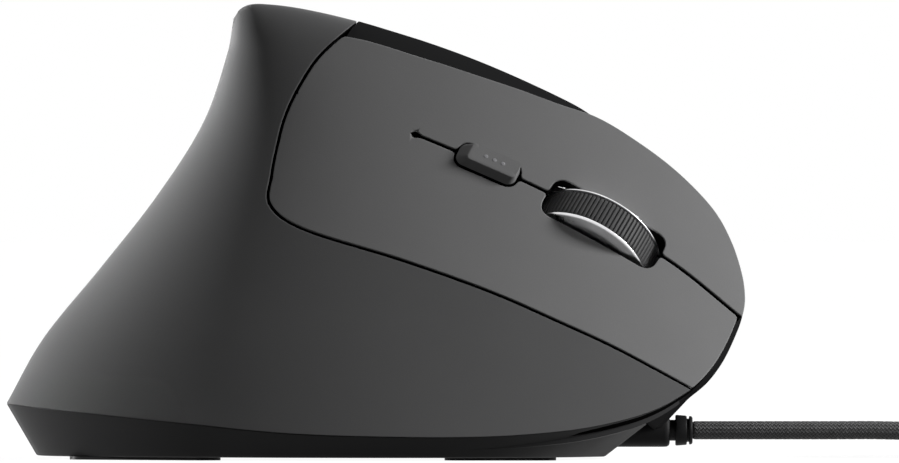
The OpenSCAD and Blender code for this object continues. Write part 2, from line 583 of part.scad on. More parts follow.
module tub() {
    lip = lip_loop();
    n = len(lip);
    rim = [for (p = lip) p - [0, 0, rim_gap + NOSE_DIP * step_up((p[0] / lx - 39) / 8)]];
    bottom = [for (p = lip)
        [smooth(p[0] / lx, BASE_X) * lx, p[1] * (1 - BASE_TUCK * (p[2] - BASE_Z)), BASE_Z]];
    rim_in = [for (i = [0:n - 1]) rim[i] + wall * loop_in(lip, i)];
    floor_in = [for (p = bottom) [FLOOR_IN * p[0], FLOOR_IN * p[1], FLOOR_Z]];
    pts = concat(rim, bottom, floor_in, rim_in, [[0, 0, BASE_Z], [0, 0, FLOOR_Z]]);
    bands = [for (r = [0:3]) for (i = [0:n - 1]) for (h = [0, 1])
        let (k = (i + 1) % n, q = (r + 1) % 4, a = r * n + i, b = r * n + k, c = q * n + i, d = q * n + k)
        if (r != 1) h == 0 ? [a, b, d] : [a, d, c]];
    caps = [for (i = [0:n - 1]) for (h = [0, 1])
        h == 0 ? [n + i, n + (i + 1) % n, 4 * n] : [2 * n + (i + 1) % n, 2 * n + i, 4 * n + 1]];
    polyhedron(pts, concat(bands, caps), convexity = 6);
}
MAIN_Z = 7;
LEG = [[-27, -11], [-27, 1.5], [-5, -17]];
function leg_at(k) = from_frame(WHEEL_F, [LEG[k][0], LEG[k][1], CHASSIS_Z - CHASSIS_T]);
LEG_D = 5;
LEG_REACH = 60 * lz;
LEG_CLEAR = 0.55;
PAD_D = 8;
// the main board ends short of the first leg
BOARD_FRONT = leg_at(0)[0] - LEG_D / 2 - LEG_CLEAR;
BOARD_BACK = -40 * lx;
BOARD_HALF = 15.5;
REAR_POST_X = BOARD_BACK + 4;
FRONT_POST_X = BOARD_FRONT - 5;
MAIN_POST = [[REAR_POST_X, -11], [REAR_POST_X, 11], [FRONT_POST_X, -12], [FRONT_POST_X, 12]];
SENSOR_X = BOARD_FRONT - 14;
SENSOR_D = 9;
CORD_Y = -1.5;
CORD_Z = 4.6 * lz;
BOSS_D = 5.4;
BOSS_X = [40, 47.8];
GLAND_X = 38;
NECK_D = 3.4;
FLANGE_D = 5;
module base_shell() {
    color("black") difference() {
        union() {
            tub();
            for (p = MAIN_POST) translate([p[0], p[1], FLOOR_Z - 0.5])
                cylinder(d = 5.5, h = MAIN_Z - FLOOR_Z + 0.5);
            translate([BOSS_X[0] * lx, CORD_Y, CORD_Z]) rotate([0, 90, 0])
                cylinder(d = BOSS_D, h = (BOSS_X[1] - BOSS_X[0]) * lx);
        }
        for (p = MAIN_POST) translate([p[0], p[1], FLOOR_Z - 0.5]) cylinder(d = PILOT, h = MAIN_Z);
        for (k = [0:2]) translate([leg_at(k)[0], leg_at(k)[1], -1]) {
            cylinder(d = screw_d + 0.4, h = 10);
            cylinder(d = 2 * screw_d + 0.6, h = BASE_Z + SCREW_HEAD + 1.1);
        }
        translate([SENSOR_X, 0, -1]) cylinder(d = SENSOR_D, h = 6);
        translate([(GLAND_X - 4) * lx, CORD_Y, CORD_Z]) rotate([0, 90, 0]) cylinder(d = NECK_D, h = 30);
    }
}
module base_screws() {
    z = BASE_Z + SCREW_HEAD + 0.1 + BASE_SCREW_L;
    color("silver") for (k = [0:2]) translate([leg_at(k)[0], leg_at(k)[1], z]) rotate([180, 0, 0])
        screw(BASE_SCREW_L);
}
BASE_SCREW_L = 7;
module foot(x, y, l, turn) {
    translate([x * lx, y * ly, foot_h / 2]) rotate(turn) pill(l, foot_w, foot_h);
}
module rear_feet() {
    color("darkslategray") {
        foot(-37.2, -18.5, rear_foot_l, -28);
        foot(-37.2, 12.7, rear_foot_l, 33);
    }
}
module front_feet() {
    color("darkslategray") {
        foot(20.2, -25, front_foot_l, 0);
        foot(20.2, 24, front_foot_l, 0);
    }
}

// slanted chassis with the switch board
CUT_X = wheel_d / 2 + 1.4;
NOTCH_AT = [-23, 2.6];
NOTCH_W = 3.6;
CUT_Y = wheel_w / 2 + 1.6;
module board_shape() {
    difference() {
        polygon([
            [-30.5, -14.5], [-30.5, 4], [-21.5, 4], [-18.6, 7.4], [-14, 7.9], [-9.4, 9], [-8.6, 11.4],
            [-1.6, 13.3], [8, 13.3], [13, 10], [17, 4], [17, -10], [13, -20], [-6, -20]]);
        translate([-CUT_X, -CUT_Y]) square([2 * CUT_X, 2 * CUT_Y]);
    }
}
module chassis_shape() {
    difference() {
        offset(delta = -0.5) board_shape();
        translate(NOTCH_AT - [NOTCH_W / 2, NOTCH_W / 2]) square([NOTCH_W, 2 * NOTCH_W]);
    }
}
module chassis() {
    color("black") difference() {
        union() {
            in_frame(WHEEL_F) translate([0, 0, CHASSIS_Z - CHASSIS_T]) linear_extrude(CHASSIS_T)
                chassis_shape();
            for (k = [0:2]) {
                translate([leg_at(k)[0], leg_at(k)[1], FLOOR_Z]) cylinder(d = PAD_D, h = 2);
                difference() {
                    translate([leg_at(k)[0], leg_at(k)[1], FLOOR_Z]) cylinder(d = LEG_D, h = LEG_REACH);
                    in_frame(WHEEL_F) slab(-LEG_REACH, LEG_REACH, -LEG_REACH, LEG_REACH,
                        CHASSIS_Z - 0.85 * CHASSIS_T, 2 * LEG_REACH);
                }
            }
        }
        for (k = [0:2]) {
            translate([leg_at(k)[0], leg_at(k)[1], FLOOR_Z - 1]) cylinder(d = PILOT, h = 8);
            in_frame(WHEEL_F) translate([LEG[k][0], LEG[k][1], CHASSIS_Z - CHASSIS_T])
                cylinder(d = PILOT, h = 4);
        }
    }
}
module switch_board() {
    color("darkgreen") in_frame(WHEEL_F) difference() {
        translate([0, 0, CHASSIS_Z]) linear_extrude(board_t) board_shape();
        for (p = LEG) translate([p[0], p[1], CHASSIS_Z - 1]) cylinder(d = PILOT, h = 4);
    }
}
module board_screws() {
    color("silver") {
        in_frame(WHEEL_F) for (p = LEG) translate([p[0], p[1], BOARD_Z - board_t - 1.8])
            screw(board_t + 1.8);
        for (p = MAIN_POST) translate([p[0], p[1], MAIN_Z + board_t - 4.5]) screw(4.5);
    }
}
module click_body(y) {
    color("gray") in_frame(WHEEL_F) difference() {
        translate([SWITCH_X, y, BOARD_Z + switch_h / 2])
            cube([switch_l, switch_w, switch_h], center = true);
        translate([PLUNGER_X, y, BOARD_Z + switch_h]) cube([2, 3.2, 4], center = true);
    }
}
module click_plunger(y) {
    color("red") in_frame(WHEEL_F) translate([PLUNGER_X, y, PLUNGER_TOP - 0.9])
        cube([1.6, 2.8, 1.8], center = true);
}
module left_switch() {
    click_body(SWITCH_Y[0]);
}
module right_switch() {
    click_body(SWITCH_Y[1]);
}
module left_plunger() {
    click_plunger(SWITCH_Y[0]);
}
module right_plunger() {
    click_plunger(SWITCH_Y[1]);
}
module speed_switch() {
    color("gray") in_frame(WHEEL_F) tact_body(SPEED_AT, BOARD_Z);
}
module speed_pin() {
    color("black") in_frame(WHEEL_F) tact_pin(SPEED_AT, BOARD_Z);
}
module wheel_switch() {
    color("gray") in_frame(WHEEL_F) tact_body(CLICK_AT, BOARD_Z);
}
module wheel_pin() {
    color("black") in_frame(WHEEL_F) tact_pin(CLICK_AT, BOARD_Z);
}
module speed_button() {
    color("dimgray") {
        in_frame(SPEED_F) {
            hull() {
                translate([0, 0, -0.6]) round_box(speed_l, speed_w, 1.4, 1.5);
                translate([0, 0, speed_rise - 0.1]) round_box(speed_l - 2.6, speed_w - 2, 0.2, 0.8);
            }
            translate([0, 0, -2]) round_box(speed_l, speed_w, 3, 1.5);
            translate([0, 0, -3.6]) round_box(speed_l + 1.6, speed_w + 1.6, 0.8, 1.5);
        }
        in_frame(WHEEL_F) translate([SPEED_AT[0], SPEED_AT[1], TACT_TOP + TOUCH])
            cylinder(d = 2.6, h = SPEED_AT[2] - 3 - TACT_TOP);
    }
}

// scroll wheel and its yoke
RIM_T = 1;
HUB_D = 0.72 * wheel_d;
HUB_HOLE_D = 3;
HUB_HOLE_R = HUB_D / 2 - 1.92;
module about_axle(y0) {
    in_frame(WHEEL_F) translate([0, y0, WHEEL_Z]) rotate([-90, 0, 0]) children();
}
module wheel_tyre() {
    n = 4 * tyre_ribs;
    r = wheel_d / 2;
    color("black") about_axle(-wheel_w / 2 + RIM_T) linear_extrude(wheel_w - 2 * RIM_T) difference() {
        polygon([for (i = [0:n - 1]) let (a = 360 * i / n)
            (r - (i % 4 < 2 ? 0 : RIB_DEPTH)) * [cos(a), sin(a)]]);
        circle(d = HUB_D);
    }
}
module wheel_rims() {
    r = wheel_d / 2;
    color("silver") for (s = [0, 1]) about_axle(0) mirror([0, 0, s])
        translate([0, 0, wheel_w / 2 - RIM_T]) rotate_extrude() polygon([
            [3.5, 0], [r + 0.1, 0], [r + 0.1, 0.4], [r - 0.5, RIM_T], [r - 2.6, 0.75], [3.5, 0.35]]);
}
module wheel_hub() {
    color("white") about_axle(-wheel_w / 2 + RIM_T) difference() {
        cylinder(d = HUB_D, h = wheel_w - 2 * RIM_T);
        translate([0, 0, -1]) cylinder(d = axle_d, h = wheel_w);
        for (a = [0:60:300]) rotate(a) translate([HUB_HOLE_R, 0, -1]) cylinder(d = HUB_HOLE_D, h = wheel_w);
    }
}
ENCODER_Y = [-YOKE_Y[1] - 4.5, -YOKE_Y[1] - 0.4];
module wheel_axle() {
    color("silver") about_axle(ENCODER_Y[0] + 0.4)
        cylinder(d = axle_d, h = YOKE_Y[1] + 0.4 - ENCODER_Y[0] - 0.4);
}
module encoder_rotor() {
    color("white") about_axle(ENCODER_Y[0] + 0.5) difference() {
        cylinder(d = ROTOR_D, h = 3.2);
        translate([0, 0, -1]) cylinder(d = axle_d, h = 8);
    }
}
ROTOR_D = 4.4;
module encoder() {
    color("darkgreen") in_frame(WHEEL_F) difference() {
        slab(-5, 5, ENCODER_Y[0], ENCODER_Y[1], WHEEL_Z - 3.2, WHEEL_Z + 3.3);
        across(0, WHEEL_Z, ROTOR_D + 2 * run_fit, ENCODER_Y[0] + 0.4, ENCODER_Y[1] + 1);
        across(0, WHEEL_Z, axle_d + 2 * run_fit, ENCODER_Y[0] - 1, ENCODER_Y[1] + 1);
    }
}
module wheel_yoke() {
    color("gray") in_frame(WHEEL_F) difference() {
        union() {
            for (y = [YOKE_Y[0], -YOKE_Y[1]]) {
                slab(YOKE_X[0], 0, y, y + YOKE_Y[1] - YOKE_Y[0], YOKE_Z[0], YOKE_Z[1]);
                across(0, WHEEL_Z, EYE_D, y, y + YOKE_Y[1] - YOKE_Y[0]);
            }
            slab(YOKE_X[0], YOKE_X[1], -YOKE_Y[1], YOKE_Y[1], YOKE_Z[0], WHEEL_Z + 0.5);
            slab(CLICK_AT[0] - 1.8, CLICK_AT[0] + 1.8, YOKE_Y[1] - eps, CLICK_AT[1] + 1.2,
                TACT_TOP + TOUCH, YOKE_Z[1] - 0.2);
            slab(-4, 4, ENCODER_Y[1], -YOKE_Y[1] + eps, YOKE_Z[0], YOKE_Z[1]);
        }
        across(PIVOT[0], PIVOT[1], PIVOT_D + 2 * run_fit, -20, 20);
        across(0, WHEEL_Z, axle_d + 2 * run_fit, -20, 20);
    }
}
// room round the ear on the thumb side
module ear_room() {
    slab(PIVOT[0] - EAR_R - EAR_CLEAR, PIVOT[0] + EAR_R + EAR_CLEAR, EAR_Y[0] - EAR_CLEAR,
        EAR_Y[1] + EAR_CLEAR, BOARD_Z, EAR_TOP + EAR_CLEAR);
}
module yoke_bracket() {
    color("gray") in_frame(WHEEL_F) difference() {
        union() {
            slab(PIVOT[0] - EAR_R, PIVOT[0] + EAR_R, -EAR_Y[1], EAR_Y[1], BOARD_Z, BOARD_Z + 0.6);
            for (y = [EAR_Y[0], -EAR_Y[1]])
                slab(PIVOT[0] - EAR_R, PIVOT[0] + EAR_R, y, y + EAR_Y[1] - EAR_Y[0], BOARD_Z, EAR_TOP);
        }
        across(PIVOT[0], PIVOT[1], PIVOT_D, -20, 20);
    }
}
module yoke_pin() {
    color("silver") in_frame(WHEEL_F) across(PIVOT[0], PIVOT[1], PIVOT_D, -EAR_Y[1], EAR_Y[1]);
}

// main board
module main_board() {
    color("darkgreen") difference() {
        slab(BOARD_BACK, BOARD_FRONT, -BOARD_HALF, BOARD_HALF, MAIN_Z, MAIN_Z + board_t);
        for (p = MAIN_POST) translate([p[0], p[1], MAIN_Z - 1]) cylinder(d = PILOT, h = 4);
        translate([SENSOR_X, 0, MAIN_Z - 1]) cylinder(d = 6, h = 4);
    }
}
module sensor_chip() {
    color("black") translate([SENSOR_X, 0, MAIN_Z + board_t + 1.4]) cube([11, 9, 2.8], center = true);
}
module sensor_lens() {
    color("lightblue") {
        translate([SENSOR_X, 0, MAIN_Z - 0.6]) cube([18, 12, 1.2], center = true);
        translate([SENSOR_X, 0, BASE_Z + 0.8]) cylinder(d = SENSOR_D - 1, h = MAIN_Z - BASE_Z - 1);
    }
}
LEAD_CLEAR = 3.54;
HEADER_AT = [BOARD_FRONT - 5, leg_at(0)[1] - LEAD_CLEAR];
module cord_header() {
    color("white") translate([HEADER_AT[0], HEADER_AT[1], MAIN_Z + board_t + 2])
        cube([6, 5, 4], center = true);
}
HARNESS_AT = [BOARD_FRONT - 10, 9];
module board_header() {
    color("white") translate([HARNESS_AT[0], HARNESS_AT[1], MAIN_Z + board_t + 2])
        cube([5, 7, 4], center = true);
}
// inner lead from the strain relief to its header
INNER_D = 2.4;
module inner_lead() {
    z = MAIN_Z + board_t + 2;
    path = [
        [GLAND_X * lx, CORD_Y, CORD_Z], [33 * lx, CORD_Y, CORD_Z], [28, -1, 5.2], [22, 0.5, 6.5],
        [15, -1, 8.6],
        [leg_at(0)[0] + 5, HEADER_AT[1] + 0.5, 10.2], [leg_at(0)[0], HEADER_AT[1] - 1.3, z],
        [HEADER_AT[0] + 5.5, HEADER_AT[1], z], [HEADER_AT[0] + 3, HEADER_AT[1], z]];
    color("black") tube(path, INNER_D, 8);
}
// harness between the two boards
module board_harness() {
    a = from_frame(WHEEL_F, [NOTCH_AT[0], NOTCH_AT[1], CHASSIS_Z]);
    z = MAIN_Z + board_t + 2;
    path = [
        a, a - 4 * WHEEL_F[3], [14, 9.5, 36], [12, 11, 28], [6, 10.8, 20], [HARNESS_AT[0] + 8, 9.5, 13],
        [HARNESS_AT[0] + 4.5, HARNESS_AT[1], z], [HARNESS_AT[0] + 2.5, HARNESS_AT[1], z]];
    color("darkslategray") tube(path, INNER_D, 8);
}

// cord, put-away coil, strap and plug
RELIEF_X = [48.7 * lx, 51.5 * lx];
module strain_relief() {
    color("black") translate([0, CORD_Y, CORD_Z]) rotate([0, 90, 0]) difference() {
        union() {
            translate([0, 0, GLAND_X * lx]) cylinder(d = NECK_D, h = RELIEF_X[0] - GLAND_X * lx + 1);
            translate([0, 0, RELIEF_X[0]]) cylinder(d1 = FLANGE_D, d2 = 0.9 * FLANGE_D,
                h = RELIEF_X[1] - RELIEF_X[0]);
        }
        translate([0, 0, RELIEF_X[1] - 0.9]) difference() {
            cylinder(d = 9, h = 0.3);
            translate([0, 0, -1]) cylinder(d = 3.8, h = 3);
        }
    }
}
COIL_STEP = cord_d + coil_gap;
COIL_MID = 6 * cord_d;
COIL_OUT = COIL_MID + COIL_STEP * coil_turns / 2;
COIL_Z = tie_t + 0.3 + cord_d / 2;
VIEW_X = 88;
COIL_C = [VIEW_X * lx + COIL_OUT + cord_d, CORD_Y + COIL_OUT];
LAYER = 360 * coil_turns;
// radius and height along the wound cord, by the angle wound so far
function coil_r(a) =
    let (k = floor(a / LAYER), f = a / LAYER - k)
    COIL_OUT - COIL_STEP * coil_turns * (k % 2 == 0 ? f : 1 - f);
function step_up(f) = f <= 0 ? 0 : f >= 1 ? 1 : f * f * (3 - 2 * f);
function layer_up(a, k) = step_up((a - k * LAYER) / 180 + 0.5);
function coil_z(a) = COIL_Z + COIL_STEP * (layer_up(a, 1) + layer_up(a, 2) + layer_up(a, 3));
function coil_at(a) = [COIL_C[0] + coil_r(a) * sin(a), COIL_C[1] - coil_r(a) * cos(a), coil_z(a)];
COIL_RINGS = 24;
COIL_PATH = concat(
    [coil_at(0) - [cord_d, 0, 0]],
    [for (i = [0:4 * coil_turns * COIL_RINGS]) coil_at(i * 360 / COIL_RINGS)],
    [coil_at(4 * LAYER) + [cord_d, 0, 0]]);
function gap_from(i) =
    min([for (j = [i + COIL_RINGS / 2:1:len(COIL_PATH) - 1]) norm(COIL_PATH[i] - COIL_PATH[j])]) - cord_d;
echo(coil_least_gap = min([for (i = [0:3:len(COIL_PATH) - COIL_RINGS]) gap_from(i)]));
LEAD_END = coil_at(0) - [cord_d, 0, 0];
LEAD = [
    [RELIEF_X[1], CORD_Y, CORD_Z], [58 * lx, CORD_Y, CORD_Z], [66 * lx, CORD_Y, CORD_Z],
    [74 * lx, CORD_Y, CORD_Z], [82 * lx, CORD_Y, CORD_Z], [90 * lx, CORD_Y, CORD_Z - 0.3],
    [97 * lx, CORD_Y, 0.5 * (CORD_Z + COIL_Z)], [104 * lx, CORD_Y, COIL_Z + 0.2],
    LEAD_END - [cord_d, 0, 0], LEAD_END];
TAIL_START = coil_at(4 * LAYER) + [cord_d, 0, 0];
PLUG_Z = grip_h / 2;
TAIL_END = [TAIL_START[0] + 27, CORD_Y, PLUG_Z];
TAIL_DROP = TAIL_START[2] - PLUG_Z;
TAIL = concat(
    [TAIL_START, TAIL_START + [1.5, 0, 0]],
    [for (i = [1:6]) let (f = i / 7)
        [TAIL_START[0] + 2 + 22 * f, CORD_Y, PLUG_Z + TAIL_DROP * (1 - step_up(f))]],
    [TAIL_END - [cord_d, 0, 0], TAIL_END]);
module cord_lead() {
    color("dimgray") tube(LEAD, cord_d, 8);
}
module cord_coil() {
    color("dimgray") tube(COIL_PATH, cord_d, 6);
}
module cord_tail() {
    color("dimgray") tube(TAIL, cord_d, 8);
}
TIE_IN = [COIL_OUT - COIL_STEP * coil_turns - cord_d / 2 - 1.2, COIL_OUT + cord_d / 2 + 0.4];
TIE_TOP = COIL_Z + 3 * COIL_STEP + cord_d / 2 + 0.3;
module cable_tie() {
    r = 1.5;
    l = TIE_IN[1] - TIE_IN[0];
    h = TIE_TOP - tie_t;
    color("black") translate([COIL_C[0], COIL_C[1] + (TIE_IN[0] + TIE_IN[1]) / 2, tie_t + h / 2])
        rotate([90, 0, 90]) difference() {
        round_box(l + 2 * tie_t, h + 2 * tie_t, tie_w, r + tie_t);
        round_box(l, h, tie_w + 2, r);
    }
}
GRIP_X = TAIL_END[0] + 7;
module plug_grip() {
    color("black") difference() {
        union() {
            translate([GRIP_X + grip_l / 2, CORD_Y, PLUG_Z]) rotate([90, 0, 90])
                round_box(grip_w, grip_h, grip_l, 2);
            translate([TAIL_END[0], CORD_Y, PLUG_Z]) rotate([0, 90, 0])
                cylinder(d1 = cord_d + 1.2, d2 = cord_d + 2.6, h = GRIP_X - TAIL_END[0] + 1);
        }
        translate([GRIP_X + grip_l - 3, CORD_Y - plug_w / 2, PLUG_Z - plug_t / 2])
            cube([9, plug_w, plug_t]);
    }
}
PLUG_X = GRIP_X + grip_l - 3;
SHEET = 0.3;
module plug_shell() {
    color("silver") difference() {
        translate([PLUG_X, CORD_Y - plug_w / 2, PLUG_Z - plug_t / 2]) cube([plug_l + 3, plug_w, plug_t]);
        translate([PLUG_X - 1, CORD_Y - plug_w / 2 + SHEET, PLUG_Z - plug_t / 2 + SHEET])
            cube([plug_l + 9, plug_w - 2 * SHEET, plug_t - 2 * SHEET]);
        for (s = [-1, 1]) translate([PLUG_X + plug_l - 3, CORD_Y + s * 2.75, PLUG_Z])
            cube([2.5, 2.5, 12], center = true);
    }
}
module plug_tongue() {
    color("white") translate([PLUG_X, CORD_Y - plug_w / 2 + SHEET, PLUG_Z - plug_t / 2 + SHEET])
        cube([plug_l + 2.5, plug_w - 2 * SHEET, 1.9]);
}
module plug_contacts() {
    color("gold") for (y = [-3.5, -1, 1, 3.5])
        translate([PLUG_X + 4, CORD_Y + y - 0.5, PLUG_Z - plug_t / 2 + SHEET + 1.9])
            cube([plug_l - 3, 1, 0.2]);
}

main_shell();
thumb_shell();
ridge_trim();
button_bridge();
left_button();
right_button();
base_shell();
base_screws();
rear_feet();
front_feet();
chassis();
switch_board();
board_screws();
left_switch();
right_switch();
left_plunger();
right_plunger();
speed_button();
speed_switch();
speed_pin();
wheel_switch();
wheel_pin();
wheel_tyre();
wheel_rims();
wheel_hub();
wheel_axle();
encoder_rotor();
encoder();
wheel_yoke();
yoke_bracket();
yoke_pin();
back_button();
forward_button();
thumb_board();
thumb_switches();
back_pin();
forward_pin();
thumb_screws();
main_board();
sensor_chip();
sensor_lens();
cord_header();
board_header();
inner_lead();
board_harness();
strain_relief();
cord_lead();
cord_coil();
cord_tail();
cable_tie();
plug_grip();
plug_shell();
plug_tongue();
plug_contacts();
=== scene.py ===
"""Looks of a right-handed vertical mouse with a braided cord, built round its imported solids."""

from __future__ import annotations

import logging
import math
from dataclasses import dataclass, field
from enum import Enum
from typing import Callable, Optional, Sequence

import bpy
import numpy as np
from bpy.types import Material, Node, NodeSocket, NodeTree, Object
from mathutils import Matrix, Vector
from mathutils.geometry import delaunay_2d_cdt


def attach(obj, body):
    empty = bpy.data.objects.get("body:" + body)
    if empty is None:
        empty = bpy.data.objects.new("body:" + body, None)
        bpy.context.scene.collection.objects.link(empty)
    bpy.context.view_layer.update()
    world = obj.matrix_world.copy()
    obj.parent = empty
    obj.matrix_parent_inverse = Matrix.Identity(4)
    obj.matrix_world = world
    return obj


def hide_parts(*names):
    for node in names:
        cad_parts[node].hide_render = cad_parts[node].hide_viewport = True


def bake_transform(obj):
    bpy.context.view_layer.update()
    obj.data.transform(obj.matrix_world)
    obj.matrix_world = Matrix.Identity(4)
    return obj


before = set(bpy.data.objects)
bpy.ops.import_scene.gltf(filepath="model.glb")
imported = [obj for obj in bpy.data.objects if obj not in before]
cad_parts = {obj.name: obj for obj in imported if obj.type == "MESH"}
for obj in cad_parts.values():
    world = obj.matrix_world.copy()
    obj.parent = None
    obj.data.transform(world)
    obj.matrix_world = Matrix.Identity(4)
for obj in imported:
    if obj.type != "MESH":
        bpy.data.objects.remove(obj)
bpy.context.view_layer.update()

LOG = logging.getLogger("mouse")
MM = 0.001
Array = np.ndarray


class Body(str, Enum):
    """Bodies of the frame that pieces ride on."""

    ROOT = "mouse_body"
    LEFT = "left_button"
    RIGHT = "right_button"
    SPEED = "speed_button"
    WHEEL = "wheel"
    BACK = "back_button"
    FORWARD = "forward_button"


class Side(Enum):
    """The two long faces of the body, by the sign of their outward y."""

    FINGER = -1
    THUMB = 1


def unit(v: Array) -> Array:
    """Vectors of length one, along the last axis."""
    return v / np.maximum(np.linalg.norm(v, axis=-1, keepdims=True), 1e-12)


def spline(points: Sequence, t: Array) -> Array:
    """Smooth line through evenly timed points.

    Args:
        points: the points, in order.
        t: places along the line, 0 to 1.

    Returns:
        One point for each place.
    """
    p = np.asarray(points, float)
    n = len(p) - 1
    u = np.clip(np.atleast_1d(np.asarray(t, float)), 0, 1) * n
    i = np.minimum(u.astype(int), n - 1)
    f = (u - i)[:, None]
    ext = np.vstack([2 * p[0] - p[1], p, 2 * p[n] - p[n - 1]])
    a, b, c, d = ext[i], ext[i + 1], ext[i + 2], ext[i + 3]
    return 0.5 * (2 * b + f * (c - a) + f**2 * (2 * a - 5 * b + 4 * c - d) + f**3 * (3 * b - a - 3 * c + d))


def beside(points: Sequence, t: Array, off: float) -> Array:
    """Points of a smooth line moved sideways, to the left of its direction."""
    t = np.atleast_1d(np.asarray(t, float))
    d = spline(points, np.minimum(t + 0.01, 1)) - spline(points, np.maximum(t - 0.01, 0))
    n = unit(np.stack([-d[:, 1], d[:, 0]], 1))
    return spline(points, t) + off * n


def table_value(x: Array, table: Sequence) -> Array:
    """Smooth values between the rows of a table of key and value."""
    p = np.asarray(table, float)
    x = np.asarray(x, float)
    n = len(p)
    lo, hi = np.maximum(np.arange(n) - 1, 0), np.minimum(np.arange(n) + 1, n - 1)
    slope = (p[hi, 1] - p[lo, 1]) / (p[hi, 0] - p[lo, 0])
    i = np.clip(np.searchsorted(p[:, 0], x, side="right") - 1, 0, n - 2)
    h = p[i + 1, 0] - p[i, 0]
    f = (x - p[i, 0]) / h
    g = 1 - f
    mid = p[i, 1] * (1 + 2 * f) * g * g + h * slope[i] * f * g * g
    mid = mid + p[i + 1, 1] * f * f * (3 - 2 * f) + h * slope[i + 1] * f * f * (f - 1)
    return np.where(x < p[0, 0], p[0, 1] + slope[0] * (x - p[0, 0]), mid)


def step_up(f: Array) -> Array:
    """Smooth step from 0 to 1."""
    f = np.clip(f, 0, 1)
    return f * f * (3 - 2 * f)


class Form:
    """The body's outlines and faces, in millimetres, as the solids have them."""

    HEEL = [(9, -60), (19.5, -54.1), (31, -44.8), (42.5, -35.8), (54.5, -28.2), (66, -24.2), (71.6, -23.2)]
    CROWN = [
        (-23.2, 71.6), (-22.2, 73.1), (-20.3, 73.95), (-17, 73.9), (-13, 73.4), (-8, 72.4), (-2.5, 71.05), (3, 69.75),
    ]
    LIP = [
        (-60, 9), (-43, 7.3), (-33, 6.3), (-14, 4.5), (6.5, 3.9), (18, 4), (26.5, 4.5), (34.5, 5.45),
        (42.5, 7.3), (47, 9.1), (51, 11.5),
    ]
    SHUT = [
        (51, 11.5), (45.2, 14.7), (38, 18.5), (29.5, 22.4), (18.5, 27.2), (4.5, 32.2), (-11.5, 37.2),
        (-17.1, 41.2), (-16.9, 46), (-16, 50.8), (-14.7, 55.7), (-12.4, 60.6), (-9, 65.6), (-3, 70.9),
    ]
    SLIT = [
        (-13.4, 59.6), (-2.5, 56.2), (6.4, 52.7), (16.9, 48.3), (26.6, 43.9), (37.2, 38.4), (48.5, 31.6), (59.2, 23),
    ]
    TOP_EDGE = [
        (-5.6, 68.9), (0.7, 67.4), (8.8, 65), (16.9, 62.3), (25, 59.5), (33, 56.2), (41, 51.6), (48, 46.5), (54, 40.5),
    ]
    NOSE_UP = [(54, 40.5), (57.3, 35.2), (59.1, 30), (59.6, 26), (59.2, 23)]
    NOSE_LOW = [(59.2, 23), (57.6, 19.6), (55.7, 16.4), (53.5, 13.7), (51, 11.5)]
    THUMB_TOP = [
        (-3, 70.2), (0.7, 69.1), (8.8, 66.7), (16.9, 63.8), (25, 60.3), (33, 56.5), (41, 51.7), (48, 46.6), (54, 40.6),
    ]
    THUMB_NOSE = [
        (54, 40.6), (57.4, 35.2), (59.2, 30), (59.7, 26), (59.4, 23), (58, 19.6), (56.2, 16.4), (54, 13.7), (51, 11.5),
    ]
    THUMB_SHUT = [(-46, 7.6), (-38, 20), (-29, 34), (-20.5, 48), (-12.5, 60.5), (-3, 70.9)]
    HALF_GAP = 0.21
    REACH = [
        (0, 0.5), (0.5, 0.46), (1, 0.28), (1.6, 0.06), (2, 0), (4.3, 0), (4.7, 0.12), (5, 0.45), (5.25, 0.78),
        (5.6, 0.93), (6.2, 0.88), (8, 0.8), (9.5, 0.5), (11.6, 0.42), (12, 0.4),
    ]
    DOT = (6.4, 52.7)
    DOT_R = 0.6
    SPEED_X, WHEEL_X, WHEEL_LOW = 18.2, 37.2, 0.3
    REAR, NOSE = -60, 51
    FOOT, RISE, LEAN = 9, 62.6, 8
    FINGER_AT, FINGER_SHEET = (-5, 30), (-21.6, 0.0027, 0.000019, 0.69, 0.00217)
    THUMB_SHEET = (13.5, 0.0006)
    FLARE_AT, FLARE, FLARE_FALL = (4, 4), (27.5, 0.000241, 0.00000161), 15
    HEEL_ROUND = (24, 0.32)
    THUMB_AT, THUMB_SLOPE = (18.0, 50.7), -0.28
    CORNER_T, REAR_T, TIP_T = 6.6 / 13, 10.78 / 13, 12.63 / 13

    def __init__(self) -> None:
        """Works out the offset that puts the middle of the body over the origin."""
        x = self.REAR + (self.NOSE - self.REAR) * np.linspace(0, 1, 41) ** 2
        z = table_value(x, self.LIP)
        self.mid_y = (self.raw_y(x, z, Side.FINGER).min() + self.raw_y(x, z, Side.THUMB).max()) / 2

    @staticmethod
    def lean(z: Array) -> Array:
        """Middle of the heel and the ridge at a height."""
        return Form.LEAN * (z - Form.FOOT) / Form.RISE

    def raw_y(self, x: Array, z: Array, side: Side) -> Array:
        """y of a face before it is centred.

        Args:
            x: places along the body.
            z: heights.
            side: which face.

        Returns:
            y in millimetres.
        """
        lean = self.lean(z)
        if side is Side.FINGER:
            a, h = x - self.FINGER_AT[0], z - self.FINGER_AT[1]
            c = self.FINGER_SHEET
            sheet = c[0] + c[1] * a * a + c[2] * a**3 + c[3] * h - c[4] * h * h
        else:
            a, h = x - self.FLARE_AT[0], z - self.FLARE_AT[1]
            c = self.FLARE
            flare = c[0] * (1 - c[1] * a * a - c[2] * a**3)
            c = self.THUMB_SHEET
            sheet = c[0] - c[1] * (x - self.FINGER_AT[0]) ** 2 + flare * np.exp(-h / self.FLARE_FALL)
        d = np.maximum(x - table_value(z, self.HEEL), 0)
        wide, taper = self.HEEL_ROUND
        reach = np.sqrt(1 - np.exp(-d / (wide - taper * (z - self.FOOT))))
        return lean + (sheet - lean) * reach

